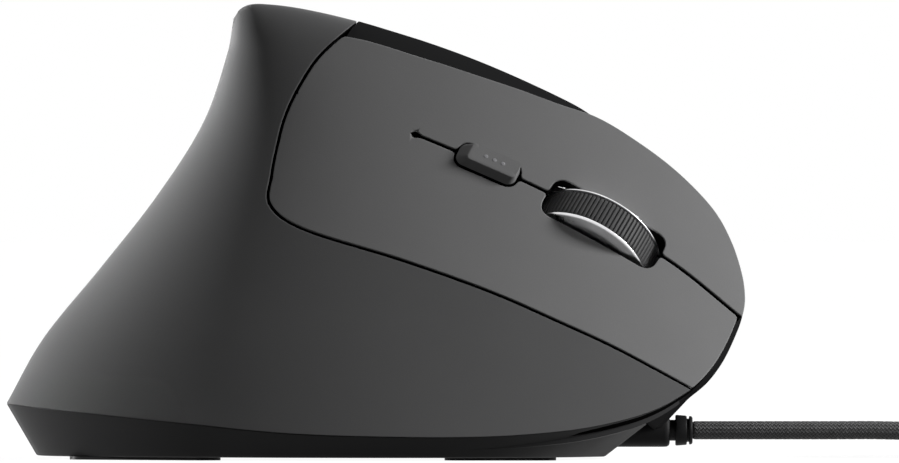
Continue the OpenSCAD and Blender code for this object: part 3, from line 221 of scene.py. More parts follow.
    def on_face(self, q: Array, side: Side) -> Array:
        """Points on a face for x and z."""
        q = np.asarray(q, float)
        return np.stack([q[..., 0], self.raw_y(q[..., 0], q[..., 1], side) - self.mid_y, q[..., 1]], -1)

    def out_of_face(self, q: Array, side: Side) -> Array:
        """Outward directions of a face for x and z."""
        q = np.asarray(q, float)
        e = 0.05
        dx = (self.raw_y(q[..., 0] + e, q[..., 1], side) - self.raw_y(q[..., 0] - e, q[..., 1], side)) / (2 * e)
        dz = (self.raw_y(q[..., 0], q[..., 1] + e, side) - self.raw_y(q[..., 0], q[..., 1] - e, side)) / (2 * e)
        return unit(side.value * np.stack([-dx, np.ones_like(dx), -dz], -1))

    def lifter(self, side: Side) -> Callable[[Array], tuple[Array, Array]]:
        """A function that gives points and outward directions on a face for x and z."""
        return lambda q: (self.on_face(q, side), self.out_of_face(q, side))

    def slit(self, x: Array, off: float) -> Array:
        """Points along the slit between the finger buttons, moved up by off."""
        x = np.asarray(x, float)
        z = table_value(x, self.SLIT)
        rise = (table_value(x + 0.1, self.SLIT) - table_value(x - 0.1, self.SLIT)) / 0.2
        d = unit(np.stack([np.ones_like(x), rise], -1))
        return np.stack([x - off * d[..., 1], z + off * d[..., 0]], -1)

    def button_rim(self, knot: Array) -> Array:
        """Edge of the upper button round the ridge and nose, for places counted in knots from the ridge."""
        edge = self.TOP_EDGE + self.NOSE_UP[1:]
        t = np.asarray(knot, float) / (len(edge) - 1)
        d = unit(spline(edge, np.minimum(t + 0.01, 1)) - spline(edge, np.maximum(t - 0.01, 0)))
        return spline(edge, t) + table_value(knot, self.REACH)[:, None] * np.stack([-d[:, 1], d[:, 0]], 1)

    def face_frame(self, x: float) -> Array:
        """Frame on the finger face at the slit: place, forward, across and outward rows."""
        q = np.array([x, float(table_value(x, self.SLIT))])
        n = self.out_of_face(q, Side.FINGER)
        d = self.on_face(self.slit(x + 0.5, 0), Side.FINGER) - self.on_face(self.slit(x - 0.5, 0), Side.FINGER)
        t = unit(d - (d @ n) * n)
        return np.stack([self.on_face(q, Side.FINGER), t, np.cross(n, t), n])

    def thumb_frame(self) -> Array:
        """Frame on the thumb face between its two buttons."""
        q = np.array(self.THUMB_AT)
        n = self.out_of_face(q, Side.THUMB)
        d = self.on_face(q + [1, self.THUMB_SLOPE], Side.THUMB) - self.on_face(q, Side.THUMB)
        t = unit(d - (d @ n) * n)
        return np.stack([self.on_face(q, Side.THUMB), t, np.cross(n, t), n])

    def onto_face(self, fr: Array, local: Array, side: Side) -> Array:
        """x and z where points of a frame, moved along its outward row, meet the face."""
        p = fr[0] + local[:, :1] * fr[1] + local[:, 1:2] * fr[2]
        for _ in range(6):
            gap = (self.raw_y(p[:, 0], p[:, 2], side) - self.mid_y) - p[:, 1]
            p = p + (gap * fr[3][1])[:, None] * fr[3]
        return p[:, [0, 2]]


FORM = Form()


def rounded_box(length: float, width: float, r: float, n: int = 10) -> Array:
    """Outline of a box with round corners, anticlockwise from its right end.

    Args:
        length: size along x.
        width: size along y.
        r: corner radius.
        n: points in each corner.

    Returns:
        Points of the outline.
    """
    a = np.linspace(0, np.pi / 2, n)
    out = []
    for k, (sx, sy) in enumerate([(1, 1), (-1, 1), (-1, -1), (1, -1)]):
        c = np.array([sx * (length / 2 - r), sy * (width / 2 - r)])
        out.append(c + r * np.stack([np.cos(a + k * np.pi / 2), np.sin(a + k * np.pi / 2)], 1))
    return np.vstack(out)


def even(line: Array, step: float, closed: bool = False) -> Array:
    """The same line with points an even step apart."""
    p = shut_line(line) if closed else np.asarray(line, float)
    s = np.concatenate([[0], np.cumsum(np.linalg.norm(np.diff(p, axis=0), axis=1))])
    keep = np.concatenate([[True], np.diff(s) > 1e-9])
    p, s = p[keep], s[keep]
    n = max(int(round(s[-1] / step)), 2)
    at = np.linspace(0, s[-1], n + 1)
    if closed:
        at = at[:-1]
    return np.stack([np.interp(at, s, p[:, k]) for k in range(p.shape[1])], 1)


def soften(loop: Array, held: Array, times: int) -> Array:
    """A closed line with its corners rounded, apart from held points."""
    p = loop.copy()
    for _ in range(times):
        q = 0.25 * np.roll(p, 1, 0) + 0.5 * p + 0.25 * np.roll(p, -1, 0)
        p = np.where(held[:, None], p, q)
    return p


def to_lines(points: Array, lines: Sequence[Array]) -> tuple[Array, Array]:
    """Distance from points to the nearest of some lines, and the nearest places.

    Args:
        points: the points.
        lines: open lines.

    Returns:
        Distances and nearest places.
    """
    best = np.full(len(points), 1e9)
    near = np.zeros_like(points)
    for line in lines:
        a, d = line[:-1], np.diff(line, axis=0)
        ll = np.maximum((d * d).sum(1), 1e-12)
        for i in range(0, len(points), 2000):
            p = points[i : i + 2000]
            t = np.clip(((p[:, None] - a) * d).sum(2) / ll, 0, 1)
            q = a + t[..., None] * d
            r = np.linalg.norm(p[:, None] - q, axis=2)
            k = r.argmin(1)
            m = r[np.arange(len(p)), k]
            closer = m < best[i : i + 2000]
            best[i : i + 2000] = np.where(closer, m, best[i : i + 2000])
            near[i : i + 2000] = np.where(closer[:, None], q[np.arange(len(p)), k], near[i : i + 2000])
    return best, near


def inside(points: Array, loop: Array) -> Array:
    """Which points lie inside a closed line."""
    x, y = points[:, 0], points[:, 1]
    a, b = loop, np.roll(loop, -1, 0)
    out = np.zeros(len(points), bool)
    for (x0, y0), (x1, y1) in zip(a, b):
        if y0 == y1:
            continue
        cross = (y0 > y) != (y1 > y)
        out ^= cross & (x < (x1 - x0) * (y - y0) / (y1 - y0) + x0)
    return out


def mesh_object(name: str, verts: Array, faces: Sequence, normals: Optional[Array] = None, sharp: float = 40) -> Object:
    """A smooth-shaded mesh object from millimetre points.

    Args:
        name: the piece's name.
        verts: points in millimetres.
        faces: rows of point numbers.
        normals: one normal for each corner of each face, or None to work them out.
        sharp: angle in degrees past which an edge stays sharp.

    Returns:
        The object, linked to the scene.
    """
    mesh = bpy.data.meshes.new(name)
    mesh.from_pydata((np.asarray(verts) * MM).tolist(), [], [list(map(int, f)) for f in faces])
    mesh.update()
    mesh.polygons.foreach_set("use_smooth", [True] * len(mesh.polygons))
    if normals is None:
        mesh.set_sharp_from_angle(angle=math.radians(sharp))
    else:
        mesh.normals_split_custom_set([tuple(map(float, n)) for n in normals])
    obj = bpy.data.objects.new(name, mesh)
    bpy.context.scene.collection.objects.link(obj)
    return obj


def quads(m: int, n: int, wrap_m: bool = False, wrap_n: bool = False, flip: bool = False) -> list:
    """Faces of a grid of m rows of n points."""
    out = []
    for i in range(m if wrap_m else m - 1):
        for j in range(n if wrap_n else n - 1):
            a, b = i * n + j, ((i + 1) % m) * n + j
            c, d = ((i + 1) % m) * n + (j + 1) % n, i * n + (j + 1) % n
            out.append((a, d, c, b) if flip else (a, b, c, d))
    return out


def turned(fr: Array, a: Array) -> Array:
    """Directions at some angles round the last row of a frame."""
    return np.cos(a)[:, None] * fr[1] + np.sin(a)[:, None] * fr[2]


def round_angles(steps: int) -> Array:
    """Even angles once round, the last one short of the first."""
    return np.linspace(0, 2 * np.pi, steps + 1)[:-1]


def shut_line(line: Array) -> Array:
    """A line with its first point again at its end."""
    return np.vstack([line, line[:1]])


def settle(obj: Object, body: Body, finishes: Sequence[Material], *nodes: str) -> Object:
    """Gives a piece its finishes, its body and the solids it stands for.

    Args:
        obj: the piece.
        body: the body it rides on.
        finishes: its materials, by slot.
        nodes: names of the solids it stands for.

    Returns:
        The same piece.
    """
    for finish in finishes:
        obj.data.materials.append(finish)
    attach(obj, body.value)
    if nodes:
        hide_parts(*nodes)
    LOG.info("%s: %d faces on %s", obj.name, len(obj.data.polygons), body.value)
    return obj


@dataclass
class Moulding:
    """A thin moulded sheet over a face, with rounded edges and closed walls.

    Args:
        name: the piece's name.
        loop: outer outline, anticlockwise.
        holes: outlines of its holes.
        edges: open lines whose edges are rounded.
        lift: gives points and outward directions for outline places.
        flip: True where the outline is seen from behind the face.
        radius: radius of the rounded edges.
        wall: thickness.
        grid: spacing of the points away from the edges.
        front: number of faces on the front, known once it is built.
    """

    name: str
    loop: Array
    lift: Callable[[Array], tuple[Array, Array]]
    edges: Sequence[Array]
    holes: Sequence[Array] = ()
    flip: bool = False
    radius: float = 0.4
    wall: float = 2.0
    grid: float = 1.5
    front: int = 0

    RINGS = np.array([0.1, 0.25, 0.45, 0.7, 1.0, 1.7])
    BACK_GRID, BACK_GAP = 4.0, 1.5
    SHADE_TURN = -0.6

    def paint(self, obj: Object, finish: Material, core_and_shade: Material) -> None:
        """Finish on the front; the black second finish on the walls and the back, bare moulding that also serves as
        painted shade in the gaps, and on the edge turned to the heel, where it is painted shade.
        """
        obj.data.materials.append(finish)
        obj.data.materials.append(core_and_shade)
        for i, face in enumerate(obj.data.polygons):
            # Front faces turned to the heel take the black finish as painted shade, in place of the glint they would
            # catch.
            face.material_index = int(i >= self.front or face.normal.x < self.SHADE_TURN)

    def points(self, fine: bool) -> tuple[Array, int]:
        """Outline points first, then rings along the edges and a grid between them."""
        loops = [self.loop, *self.holes]
        rim = np.vstack(loops)
        parts = []
        if fine:
            for loop, way in zip(loops, [1] + [-1] * len(self.holes)):
                d = np.roll(loop, -1, 0) - np.roll(loop, 1, 0)
                n = way * unit(np.stack([-d[:, 1], d[:, 0]], 1))
                for k, r in enumerate(self.radius * self.RINGS):
                    p = (loop + r * n)[:: 1 if k < 5 else 2]
                    gap, _ = to_lines(p, [shut_line(q) for q in loops])
                    parts.append(p[gap > 0.8 * r])
        step = self.grid if fine else self.BACK_GRID
        lo, hi = rim.min(0), rim.max(0)
        xs, zs = np.arange(lo[0], hi[0], step), np.arange(lo[1], hi[1], step * 0.87)
        gx, gz = np.meshgrid(xs, zs)
        gx = gx + (np.arange(len(zs)) % 2)[:, None] * step / 2
        p = np.stack([gx.ravel(), gz.ravel()], 1)
        gap, _ = to_lines(p, [shut_line(q) for q in loops])
        parts.append(p[gap > (2.2 * self.radius if fine else self.BACK_GAP)])
        return np.vstack([rim, *parts]), len(rim)

    def fill(self, fine: bool) -> tuple[Array, list]:
        """Points and triangles over the sheet, the outline's points first."""
        pts, n = self.points(fine)
        pts = pts[np.concatenate([np.ones(n, bool), self.within(pts[n:])])]
        edges, start = [], 0
        for loop in [self.loop, *self.holes]:
            k = len(loop)
            edges += [(start + i, start + (i + 1) % k) for i in range(k)]
            start += k
        co, _, tris, orig, _, _ = delaunay_2d_cdt([Vector(p) for p in pts.tolist()], edges, [], 0, 1e-6)
        source = [o[0] if o else -1 for o in orig]
        co = np.array([tuple(c) for c in co])
        order = np.full(len(co), -1)
        rest = []
        for i, s in enumerate(source):
            if 0 <= s < n:
                order[i] = s
            else:
                rest.append(i)
        for k, i in enumerate(rest):
            order[i] = n + k
        flat = np.zeros((n + len(rest), 2))
        flat[:n] = pts[:n]
        flat[order] = co
        tri = order[np.array(tris)]
        mid = flat[tri].mean(1)
        p, q = flat[tri[:, 1]] - flat[tri[:, 0]], flat[tri[:, 2]] - flat[tri[:, 0]]
        area = p[:, 0] * q[:, 1] - p[:, 1] * q[:, 0]
        keep = self.within(mid) & (np.abs(area) > 1e-9)
        tri = tri[keep]
        tri[area[keep] < 0] = tri[area[keep] < 0][:, [0, 2, 1]]
        return flat, tri.tolist()

    def within(self, p: Array) -> Array:
        """Which places lie on the sheet."""
        ok = inside(p, self.loop)
        for hole in self.holes:
            ok &= ~inside(p, hole)
        return ok

    def build(self) -> Object:
        """Makes the mesh: rounded front, walls and back."""
        flat, tris = self.fill(True)
        pos, out = self.lift(flat)
        gap, near = to_lines(flat, self.edges)
        r = self.radius
        x = np.clip((r - gap) / r, 0, 1)
        depth = r * (1 - np.sqrt(np.maximum(1 - x * x, 0)))
        toward = near - flat
        ahead, _ = self.lift(flat + 0.02 * unit(toward))
        e = ahead - pos
        e = unit(e - (e * out).sum(1, keepdims=True) * out)
        normal = unit(out * np.sqrt(np.maximum(1 - x * x, 0))[:, None] + e * x[:, None])
        normal = np.where((x > 0)[:, None], normal, out)
        verts = pos - depth[:, None] * out
        back_flat, back_tris = self.fill(False)
        bpos, bout = self.lift(back_flat)
        back = bpos - self.wall * bout
        nf = len(verts)
        all_verts = np.vstack([verts, back])
        faces, normals = [], []
        for t in tris:
            f = t[::-1] if self.flip else t
            faces.append(f)
            normals += [normal[i] for i in f]
        self.front = len(faces)
        for t in back_tris:
            f = t if self.flip else t[::-1]
            faces.append([nf + i for i in f])
            normals += [-bout[i] for i in f]
        start = 0
        for k, loop in enumerate([self.loop, *self.holes]):
            m = len(loop)
            for i in range(m):
                a, b = start + i, start + (i + 1) % m
                f = [a, nf + a, nf + b, b]
                w = unit(np.cross(pos[b] - pos[a], out[a])[None])[0]
                if self.flip != (k > 0):
                    f, w = f[::-1], -w
                faces.append(f)
                normals += [w] * 4
            start += m
        return mesh_object(self.name, all_verts, faces, np.array(normals))


@dataclass
class Skin:
    """A grid of points made into a closed shell with rounded borders.

    Args:
        name: the piece's name.
        outer: rows by columns by 3 points of the outside.
        round_borders: which borders are rounded: first row, last row, first column, last column.
        wall: thickness at each point.
        radius: radius of the rounded borders.
        flip: True to turn the outside to the other way.
    """

    name: str
    outer: Array
    round_borders: tuple[bool, bool, bool, bool]
    wall: Array
    radius: float = 0.4
    flip: bool = False

    def outward(self) -> Array:
        """Outward direction at each point of the grid."""
        a = np.gradient(self.outer, axis=0)
        b = np.gradient(self.outer, axis=1)
        n = np.cross(a, b)
        return unit(-n if self.flip else n)

    def build(self) -> Object:
        """Makes the mesh: rounded outside, inside and the strips between."""
        g, n = self.outer, self.outward()
        m, k = g.shape[:2]
        lines = [line for line, on in zip([g[0], g[-1], g[:, 0], g[:, -1]], self.round_borders) if on]
        gap, _ = to_lines(g.reshape(-1, 3), lines)
        x = np.clip((self.radius - gap) / self.radius, 0, 1).reshape(m, k)
        depth = self.radius * (1 - np.sqrt(np.maximum(1 - x * x, 0)))
        top = g - depth[..., None] * n
        low = g - np.maximum(self.wall, depth + 0.02)[..., None] * n
        verts = np.vstack([top.reshape(-1, 3), low.reshape(-1, 3)])
        t = m * k
        faces = quads(m, k, flip=self.flip) + [tuple(i + t for i in f) for f in quads(m, k, flip=not self.flip)]
        ring = [j for j in range(k)] + [i * k + k - 1 for i in range(1, m)]
        ring += [(m - 1) * k + j for j in range(k - 2, -1, -1)] + [i * k for i in range(m - 2, 0, -1)]
        for a, b in zip(ring, ring[1:] + ring[:1]):
            faces.append((a, b, b + t, a + t) if not self.flip else (a, a + t, b + t, b))
        return mesh_object(self.name, verts, faces, sharp=50)


def fine_ends(n: int, length: float, radius: float, first: bool, last: bool) -> Array:
    """Places from 0 to 1, closer together where an end is rounded."""
    near = radius * np.array([0.08, 0.2, 0.4, 0.65, 1.0, 1.6]) / length
    body = np.linspace(0, 1, n)
    edge = 2.4 * radius / length
    body = body[(body > (edge if first else -1)) & (body < 1 - (edge if last else -1))]
    out = np.concatenate([[0], near if first else [], body, 1 - near[::-1] if last else [], [1]])
    return np.unique(np.round(out, 9))


@dataclass
class FingerPlate:
    """The finger plate, slit from the relief dot on into the upper and lower buttons.

    Args:
        wall: thickness.
        radius: radius of its edges.
        step: spacing of points along its edges.
        slot: length, width and corner radius of the wheel slot.
        hole: length, width and corner radius of the speed button's hole.
        bend: not used.
    """

    wall: float = 2.0
    radius: float = 0.2
    step: float = 0.25
    slot: tuple[float, float, float] = (20.9, 7.8, 2.0)
    hole: tuple[float, float, float] = (11.2, 5.0, 1.8)
    bend: float = 6.0

    def openings(self) -> list[Array]:
        """Outlines of the dot, the speed button's hole and the wheel slot, in x and z."""
        a = round_angles(32)
        d = unit(FORM.slit(FORM.DOT[0] + 0.1, 0) - FORM.slit(FORM.DOT[0] - 0.1, 0))
        dot = np.array(FORM.DOT) + FORM.DOT_R * turned(np.array([d, d, [-d[1], d[0]]]), a)
        out = [dot]
        for x, (length, width, r), low in (
            (FORM.SPEED_X, self.hole, 0.0), (FORM.WHEEL_X, self.slot, FORM.WHEEL_LOW),
        ):
            loop = even(rounded_box(length, width, r), self.step, True)
            out.append(FORM.onto_face(FORM.face_frame(x), loop - [0, low], Side.FINGER))
        return out

    def seam(self) -> Array:
        """Line where the two halves stay joined, from the shut line to the dot."""
        rear = beside(FORM.SHUT, [FORM.REAR_T], -FORM.HALF_GAP)[0]
        u = np.linspace(0, 1, 81)
        x0 = FORM.SLIT[0][0]
        line = FORM.slit(x0 + u * (FORM.DOT[0] - x0), 0) + (1 - u)[:, None] * (rear - FORM.slit(x0, 0))
        return line[np.linalg.norm(line - FORM.DOT, axis=1) > FORM.DOT_R]

    def slit_edge(self, way: int) -> Array:
        """Edge from the dot to the nose, over the openings (way 1) or under them (way -1)."""
        line = FORM.slit(np.arange(FORM.DOT[0], 59.5 if way > 0 else 59.15, self.step), way * FORM.HALF_GAP)
        out, done = [], set()
        loops = self.openings()
        hit = [inside(line, loop) for loop in loops]
        for i, p in enumerate(line):
            k = next((k for k in range(len(loops)) if hit[k][i]), None)
            if k is None:
                out.append(p)
            elif k not in done:
                done.add(k)
                loop = loops[k]
                above = way * (loop[:, 1] - table_value(loop[:, 0], FORM.SLIT)) > FORM.HALF_GAP * 1.25
                mid = loop.mean(0)
                d = unit(FORM.slit(mid[0] + 1, 0) - FORM.slit(mid[0] - 1, 0))
                r = loop[above] - mid
                angle = np.arctan2(way * (r @ np.array([-d[1], d[0]])), r @ d)
                out += list(loop[above][np.argsort(-angle)])
        return np.array(out)

    def half(self, name: str, way: int, finish: Material, core_and_shade: Material) -> Object:
        """One half of the plate: the upper button (way 1) or the lower (way -1)."""
        seam, slit = self.seam(), self.slit_edge(way)
        b1 = slit[-1]
        gap = FORM.HALF_GAP
        w = np.linspace(0, 1, 160)[:, None]
        if way > 0:
            corner = FORM.button_rim(np.array([12.0]))[0]
            nose = FORM.button_rim(12 - 4 * w[:, 0]) + (1 - w) ** 4 * (b1 - corner)
            tip = beside(FORM.SHUT, [FORM.TIP_T], -gap)[0]
            top = FORM.button_rim(8 - 8 * w[:, 0]) + w**4 * (tip - FORM.button_rim(np.zeros(1))[0])
            rear = beside(FORM.SHUT, np.linspace(FORM.TIP_T, FORM.REAR_T, 120), -gap)
            rest = even(np.vstack([slit, nose[1:], top[1:], rear[1:]]), self.step)
            loop = np.vstack([seam, rest[:-1]])
        else:
            nose = spline(FORM.NOSE_LOW, 1 - w[:, 0]) + w * (b1 - np.array(FORM.NOSE_LOW[0]))
            low = beside(FORM.SHUT, np.linspace(FORM.REAR_T, 0.004, 500), -gap)
            rest = even(np.vstack([low, nose, slit[::-1][1:]]), self.step)
            loop = np.vstack([rest[1:], seam[::-1]])
        held = np.zeros(len(loop), bool)
        if way > 0:
            held[: len(seam)] = True
        else:
            held[-len(seam) :] = True
        loop = soften(loop, held, 5)
        shut = beside(FORM.SHUT, np.linspace(0.004, FORM.TIP_T, 600), -gap)
        dot = self.openings()[0]
        free = loop[~held]
        edges = [free, shut, shut_line(dot)]
        lift = FORM.lifter(Side.FINGER)
        sheet = Moulding(name, loop, lift, edges, radius=self.radius, wall=self.wall, grid=1.3)
        obj = sheet.build()
        sheet.paint(obj, finish, core_and_shade)
        return obj

    def build(self, finish: Material, core_and_shade: Material) -> None:
        """Makes both buttons and hides the solids they stand for."""
        for name, way, body, nodes in (
            ("upper_button_skin", 1, Body.LEFT, ("left_button",)),
            ("lower_button_skin", -1, Body.RIGHT, ("right_button", "button_bridge")),
        ):
            obj = self.half(name, way, finish, core_and_shade)
            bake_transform(obj)
            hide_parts(*nodes)
            LOG.info("%s: %d faces", name, len(obj.data.polygons))


@dataclass
class Shells:
    """Palm shell, thumb side, ridge trim and base.

    Args:
        wall: thickness.
        radius: radius of the edges.
        lip_radius: radius of the edge along the lip.
        rim_gap: gap between the shells' lip and the base.
        trim_sink: depth of the trim's near edge behind the finger face.
        trim_flange: width of the trim's edge under the finger buttons.
        base_z: height of the base's underside.
        thumb_holes: length, width and distance from the middle of the thumb buttons' holes.
        screws: x and y of the base's screws.
    """

    wall: float = 1.8
    radius: float = 0.15
    lip_radius: float = 0.08
    rim_gap: float = 0.1
    trim_sink: float = 3.4
    trim_flange: float = 2.5
    base_z: float = 0.5
    thumb_holes: tuple[float, float, float] = (16.7, 6.1, 9.2)
    screws: Sequence[tuple[float, float]] = ((5.06, -2.96), (10.21, 4.38), (21.76, -7.2))

    TRIM_NEAR = [(0, -0.3), (5, -0.3), (8, 0.2), (11, 0.1), (12, -0.2), (18, -0.3)]
    TRIM_FAR = [
        (0, 1.1), (1, 1.1), (2, 0.95), (3, 0.85), (4, 0.83), (4.6, 0.75), (5, 0.68), (5.4, 0.4), (5.8, 0.12),
        (6.2, 0), (8, 0.15), (10, 0.4), (12, 0.3), (18, 0.3),
    ]
    TRIM_BULGE = [(0, 0.75), (5, 0.55), (6, 0.15), (8, 0.15), (9.5, 0.55), (12, 0.5), (14, 0.8), (18, 0.9)]

    @staticmethod
    def shell_place(s: Array, v: Array, thumb: bool) -> Array:
        """x and z on the palm shell: s from heel to edge, v from lip to ridge."""
        gap = FORM.HALF_GAP
        line = FORM.THUMB_SHUT if thumb else FORM.SHUT
        edge = beside(line, v.ravel(), gap).reshape(*v.shape, 2)
        r0, e1 = beside(line, [0], gap)[0], beside(line, [1], gap)[0]
        r1 = beside(FORM.SHUT, [1], gap)[0]
        b0, b1 = np.array(FORM.LIP[0]), np.array([r0[0], float(table_value(r0[0], FORM.LIP))])
        t0, t1 = np.array(FORM.CROWN[0]), np.array([r1[0], float(table_value(r1[0], FORM.CROWN))])
        z = FORM.FOOT + FORM.RISE * v
        s_, v_ = s[..., None], v[..., None]
        r = edge + v_**6 * (t1 - e1) + (1 - v_) ** 6 * (b1 - r0)
        bx, tx = b0[0] + s * (b1[0] - b0[0]), t0[0] + s * (t1[0] - t0[0])
        low = np.stack([bx, table_value(bx, FORM.LIP)], -1) - (1 - s_) * b0 - s_ * b1
        high = np.stack([tx, table_value(tx, FORM.CROWN)], -1) - (1 - s_) * t0 - s_ * t1
        heel = np.stack([table_value(z, FORM.HEEL), z], -1)
        return (1 - s_) * heel + s_ * r + (1 - v_) ** 2 * low + v_**5 * high

    def palm(self, finish: Material, core_and_shade: Material) -> Object:
        """Palm shell, wrapped round the heel and folded at the ridge."""
        s = fine_ends(64, 1.0, 0.009, False, True)
        s = np.unique(np.concatenate([np.linspace(0, 0.9, 70) ** 2, s[s > 0.8]]))
        up = 1 - (1 - np.linspace(0, 1, 90)) ** 2
        v = np.unique(np.concatenate([fine_ends(40, 62.0, self.lip_radius, True, False)[:8], up[up > 0.02]]))
        halves = []
        for thumb in (False, True):
            ss, vv = np.meshgrid(s, v, indexing="ij")
            q = self.shell_place(ss, vv, thumb)
            q[:, -1] = self.shell_place(ss[:, -1:], vv[:, -1:], False)[:, 0]
            side = Side.THUMB if thumb else Side.FINGER
            d = np.maximum(table_value(q[..., 0], FORM.CROWN) - q[..., 1], 0)
            lean = FORM.lean(q[..., 1])
            y = lean + (FORM.raw_y(q[..., 0], q[..., 1], side) - lean) * np.sqrt(1 - np.exp(-d / 2))
            halves.append(np.stack([q[..., 0], y - FORM.mid_y, q[..., 1]], -1))
        grid = np.concatenate([halves[0][::-1], halves[1][1:]], 0)
        m, k = grid.shape[:2]
        n = Skin("", grid, (True,) * 4, np.zeros((m, k)), flip=True).outward()
        n[:, -1] = unit(n[:, -2] + n[::-1, -2])
        depth = np.zeros((m, k))
        for radius, lines in ((self.radius, [grid[0], grid[-1]]), (self.lip_radius, [grid[:, 0]])):
            gap, _ = to_lines(grid.reshape(-1, 3), lines)
            x = np.clip((radius - gap) / radius, 0, 1).reshape(m, k)
            depth = np.maximum(depth, radius * (1 - np.sqrt(np.maximum(1 - x * x, 0))))
        top = grid - depth[..., None] * n
        thin = self.wall * np.minimum(1, 0.3 + 1.3 * (1 - np.broadcast_to(v, (m, k))))
        low = grid - np.maximum(thin, depth + 0.05)[..., None] * n
        half = (m - 1) // 2
        faces = quads(m, k)
        t = m * k
        weld = {i * k + k - 1: (m - 1 - i) * k + k - 1 for i in range(half + 1, m)}
        weld.update({a + t: b + t for a, b in weld.items()})
        join = lambda f: tuple(dict.fromkeys(weld.get(i, i) for i in f))
        outer = [join(f)[::-1] for f in faces]
        inner = [join([i + t for i in f]) for f in faces]
        ring = [i * k for i in range(m)]
        strip = [(a, b, b + t, a + t) for a, b in zip(ring, ring[1:])]
        for row, way in ((0, 1), (m - 1, -1)):
            cells = [weld.get(row * k + j, row * k + j) for j in range(k)]
            for j in range(k - 1):
                f = (cells[j], cells[j + 1], cells[j + 1] + t, cells[j] + t)
                strip.append(f[::-1] if way > 0 else f)
        verts = np.vstack([top.reshape(-1, 3), low.reshape(-1, 3)])
        outer = [f for f in outer if len(f) > 2]
        faces = outer + [f for f in inner + strip if len(f) > 2]
        used = sorted({i for f in faces for i in f})
        new = {old: i for i, old in enumerate(used)}
        obj = mesh_object("palm_skin", verts[used], [[new[i] for i in f] for f in faces], sharp=60)
        settle(obj, Body.ROOT, [finish, core_and_shade], "main_shell")
        # Inner faces and edge strips take the black finish: bare moulding, also painted shade in the shut lines.
        obj.data.polygons.foreach_set("material_index", [int(i >= len(outer)) for i in range(len(faces))])
        return obj

    def thumb(self, finish: Material) -> Object:
        """Thumb side with holes for its two buttons."""
        gap = FORM.HALF_GAP
        w = np.linspace(0, 1, 300)
        l0 = beside(FORM.THUMB_SHUT, [0], -gap)[0]
        b0 = np.array([l0[0], float(table_value(l0[0], FORM.LIP))])
        end = beside(FORM.THUMB_SHUT, [1], -gap)[0]
        col = w[:, None]
        left = beside(FORM.THUMB_SHUT, w, -gap) + (1 - col) ** 6 * (b0 - l0)
        left = left + col**6 * (np.array(FORM.THUMB_TOP[0]) - end)
        x = np.linspace(b0[0], FORM.NOSE, 300)
        low = np.stack([x, table_value(x, FORM.LIP)], 1)
        nose, top = (spline(line, 1 - w)[1:] for line in (FORM.THUMB_NOSE, FORM.THUMB_TOP))
        loop = np.vstack([low, nose, top, left[::-1][1:-1]])
        loop = soften(even(loop, 0.3, True), np.zeros(1, bool), 4)
        fr = FORM.thumb_frame()
        length, width, at = self.thumb_holes
        holes = []
        for s in (-1, 1):
            pill = even(rounded_box(length, width, width / 2 - 0.01, 14), 0.3, True) + [s * at, 0]
            hole = FORM.onto_face(fr, pill, Side.THUMB)
            holes.append(hole[::-1])
        edges = [shut_line(p) for p in [loop, *holes]]
        lift = FORM.lifter(Side.THUMB)
        obj = Moulding("thumb_skin", loop, lift, edges, holes, flip=True, radius=0.35, wall=self.wall).build()
        return settle(obj, Body.ROOT, [finish], "thumb_shell")

    def tongue(self, core_and_shade: Material) -> Object:
        """Strip inside the thumb side that closes its shut line from behind."""
        v = np.linspace(0.03, 0.97, 120)
        across = np.linspace(-1.6, 1.6, 7)
        q = np.stack([beside(FORM.THUMB_SHUT, v, off) for off in across], 1)
        grid = FORM.on_face(q, Side.THUMB) - (self.wall + 0.3) * FORM.out_of_face(q, Side.THUMB)
        obj = Skin("shut_tongue", grid, (False,) * 4, np.full(grid.shape[:2], 0.8), 0.2).build()
        return settle(obj, Body.ROOT, [core_and_shade])

    def trim(self, finish: Material) -> Object:
        """Dark trim along the ridge and round the nose."""
        chin = [(49.3, 9.8), (46.3, 6.8)]
        edge = FORM.TOP_EDGE + FORM.NOSE_UP[1:] + FORM.NOSE_LOW[1:] + chin
        thumb_edge = FORM.THUMB_TOP + FORM.THUMB_NOSE[1:] + chin
        knot = np.linspace(0, len(edge) - 1, 300)
        p = knot / (len(edge) - 1)
        w = np.concatenate([[0, 0.01, 0.03], fine_ends(26, 8.0, 0.3, False, True)[2:]])
        d = unit(spline(edge, np.minimum(p + 0.006, 1)) - spline(edge, np.maximum(p - 0.006, 0)))
        o = np.stack([-d[:, 1], np.zeros(len(p)), d[:, 0]], 1)
        side = np.stack([-d[:, 1], d[:, 0]], 1)
        q = spline(edge, p) + table_value(knot, self.TRIM_NEAR)[:, None] * side
        a = FORM.on_face(q, Side.FINGER) - self.trim_sink * FORM.out_of_face(q, Side.FINGER)
        far = spline(thumb_edge, p) + table_value(knot, self.TRIM_FAR)[:, None] * side
        b = FORM.on_face(far, Side.THUMB) + np.array([0, 0.08, 0])
        bulge = table_value(knot, self.TRIM_BULGE)
        swell = bulge[:, None] * 4 * w * (1 - w)
        grid = a[:, None] + w[None, :, None] * (b - a)[:, None] + swell[..., None] * o[:, None]
        inner = q - self.trim_flange * side
        flange = FORM.on_face(inner, Side.FINGER) - (self.trim_sink + 0.3) * FORM.out_of_face(inner, Side.FINGER)
        grid = np.concatenate([flange[:, None], grid], 1)
        w = np.concatenate([[0], w])
        lead = unit(grid[0] - grid[3])
        sunk = o[0] + 1.4 * step_up((w - 0.7) / 0.3)[:, None] * np.array([0, 1, 0])
        steps = ((2.6, 1.5), (1.4, 1.1), (0.6, 0.8), (0.12, 0.5))
        tuck = [grid[0] + back * lead - sink * sunk for back, sink in steps]
        grid = np.concatenate([np.array(tuck), grid])
        across = np.linspace(0, 1, 7)
        thin = np.interp(w, across, [0.2, 0.3, 0.6, 1, 0.6, 0.15, 0.1])
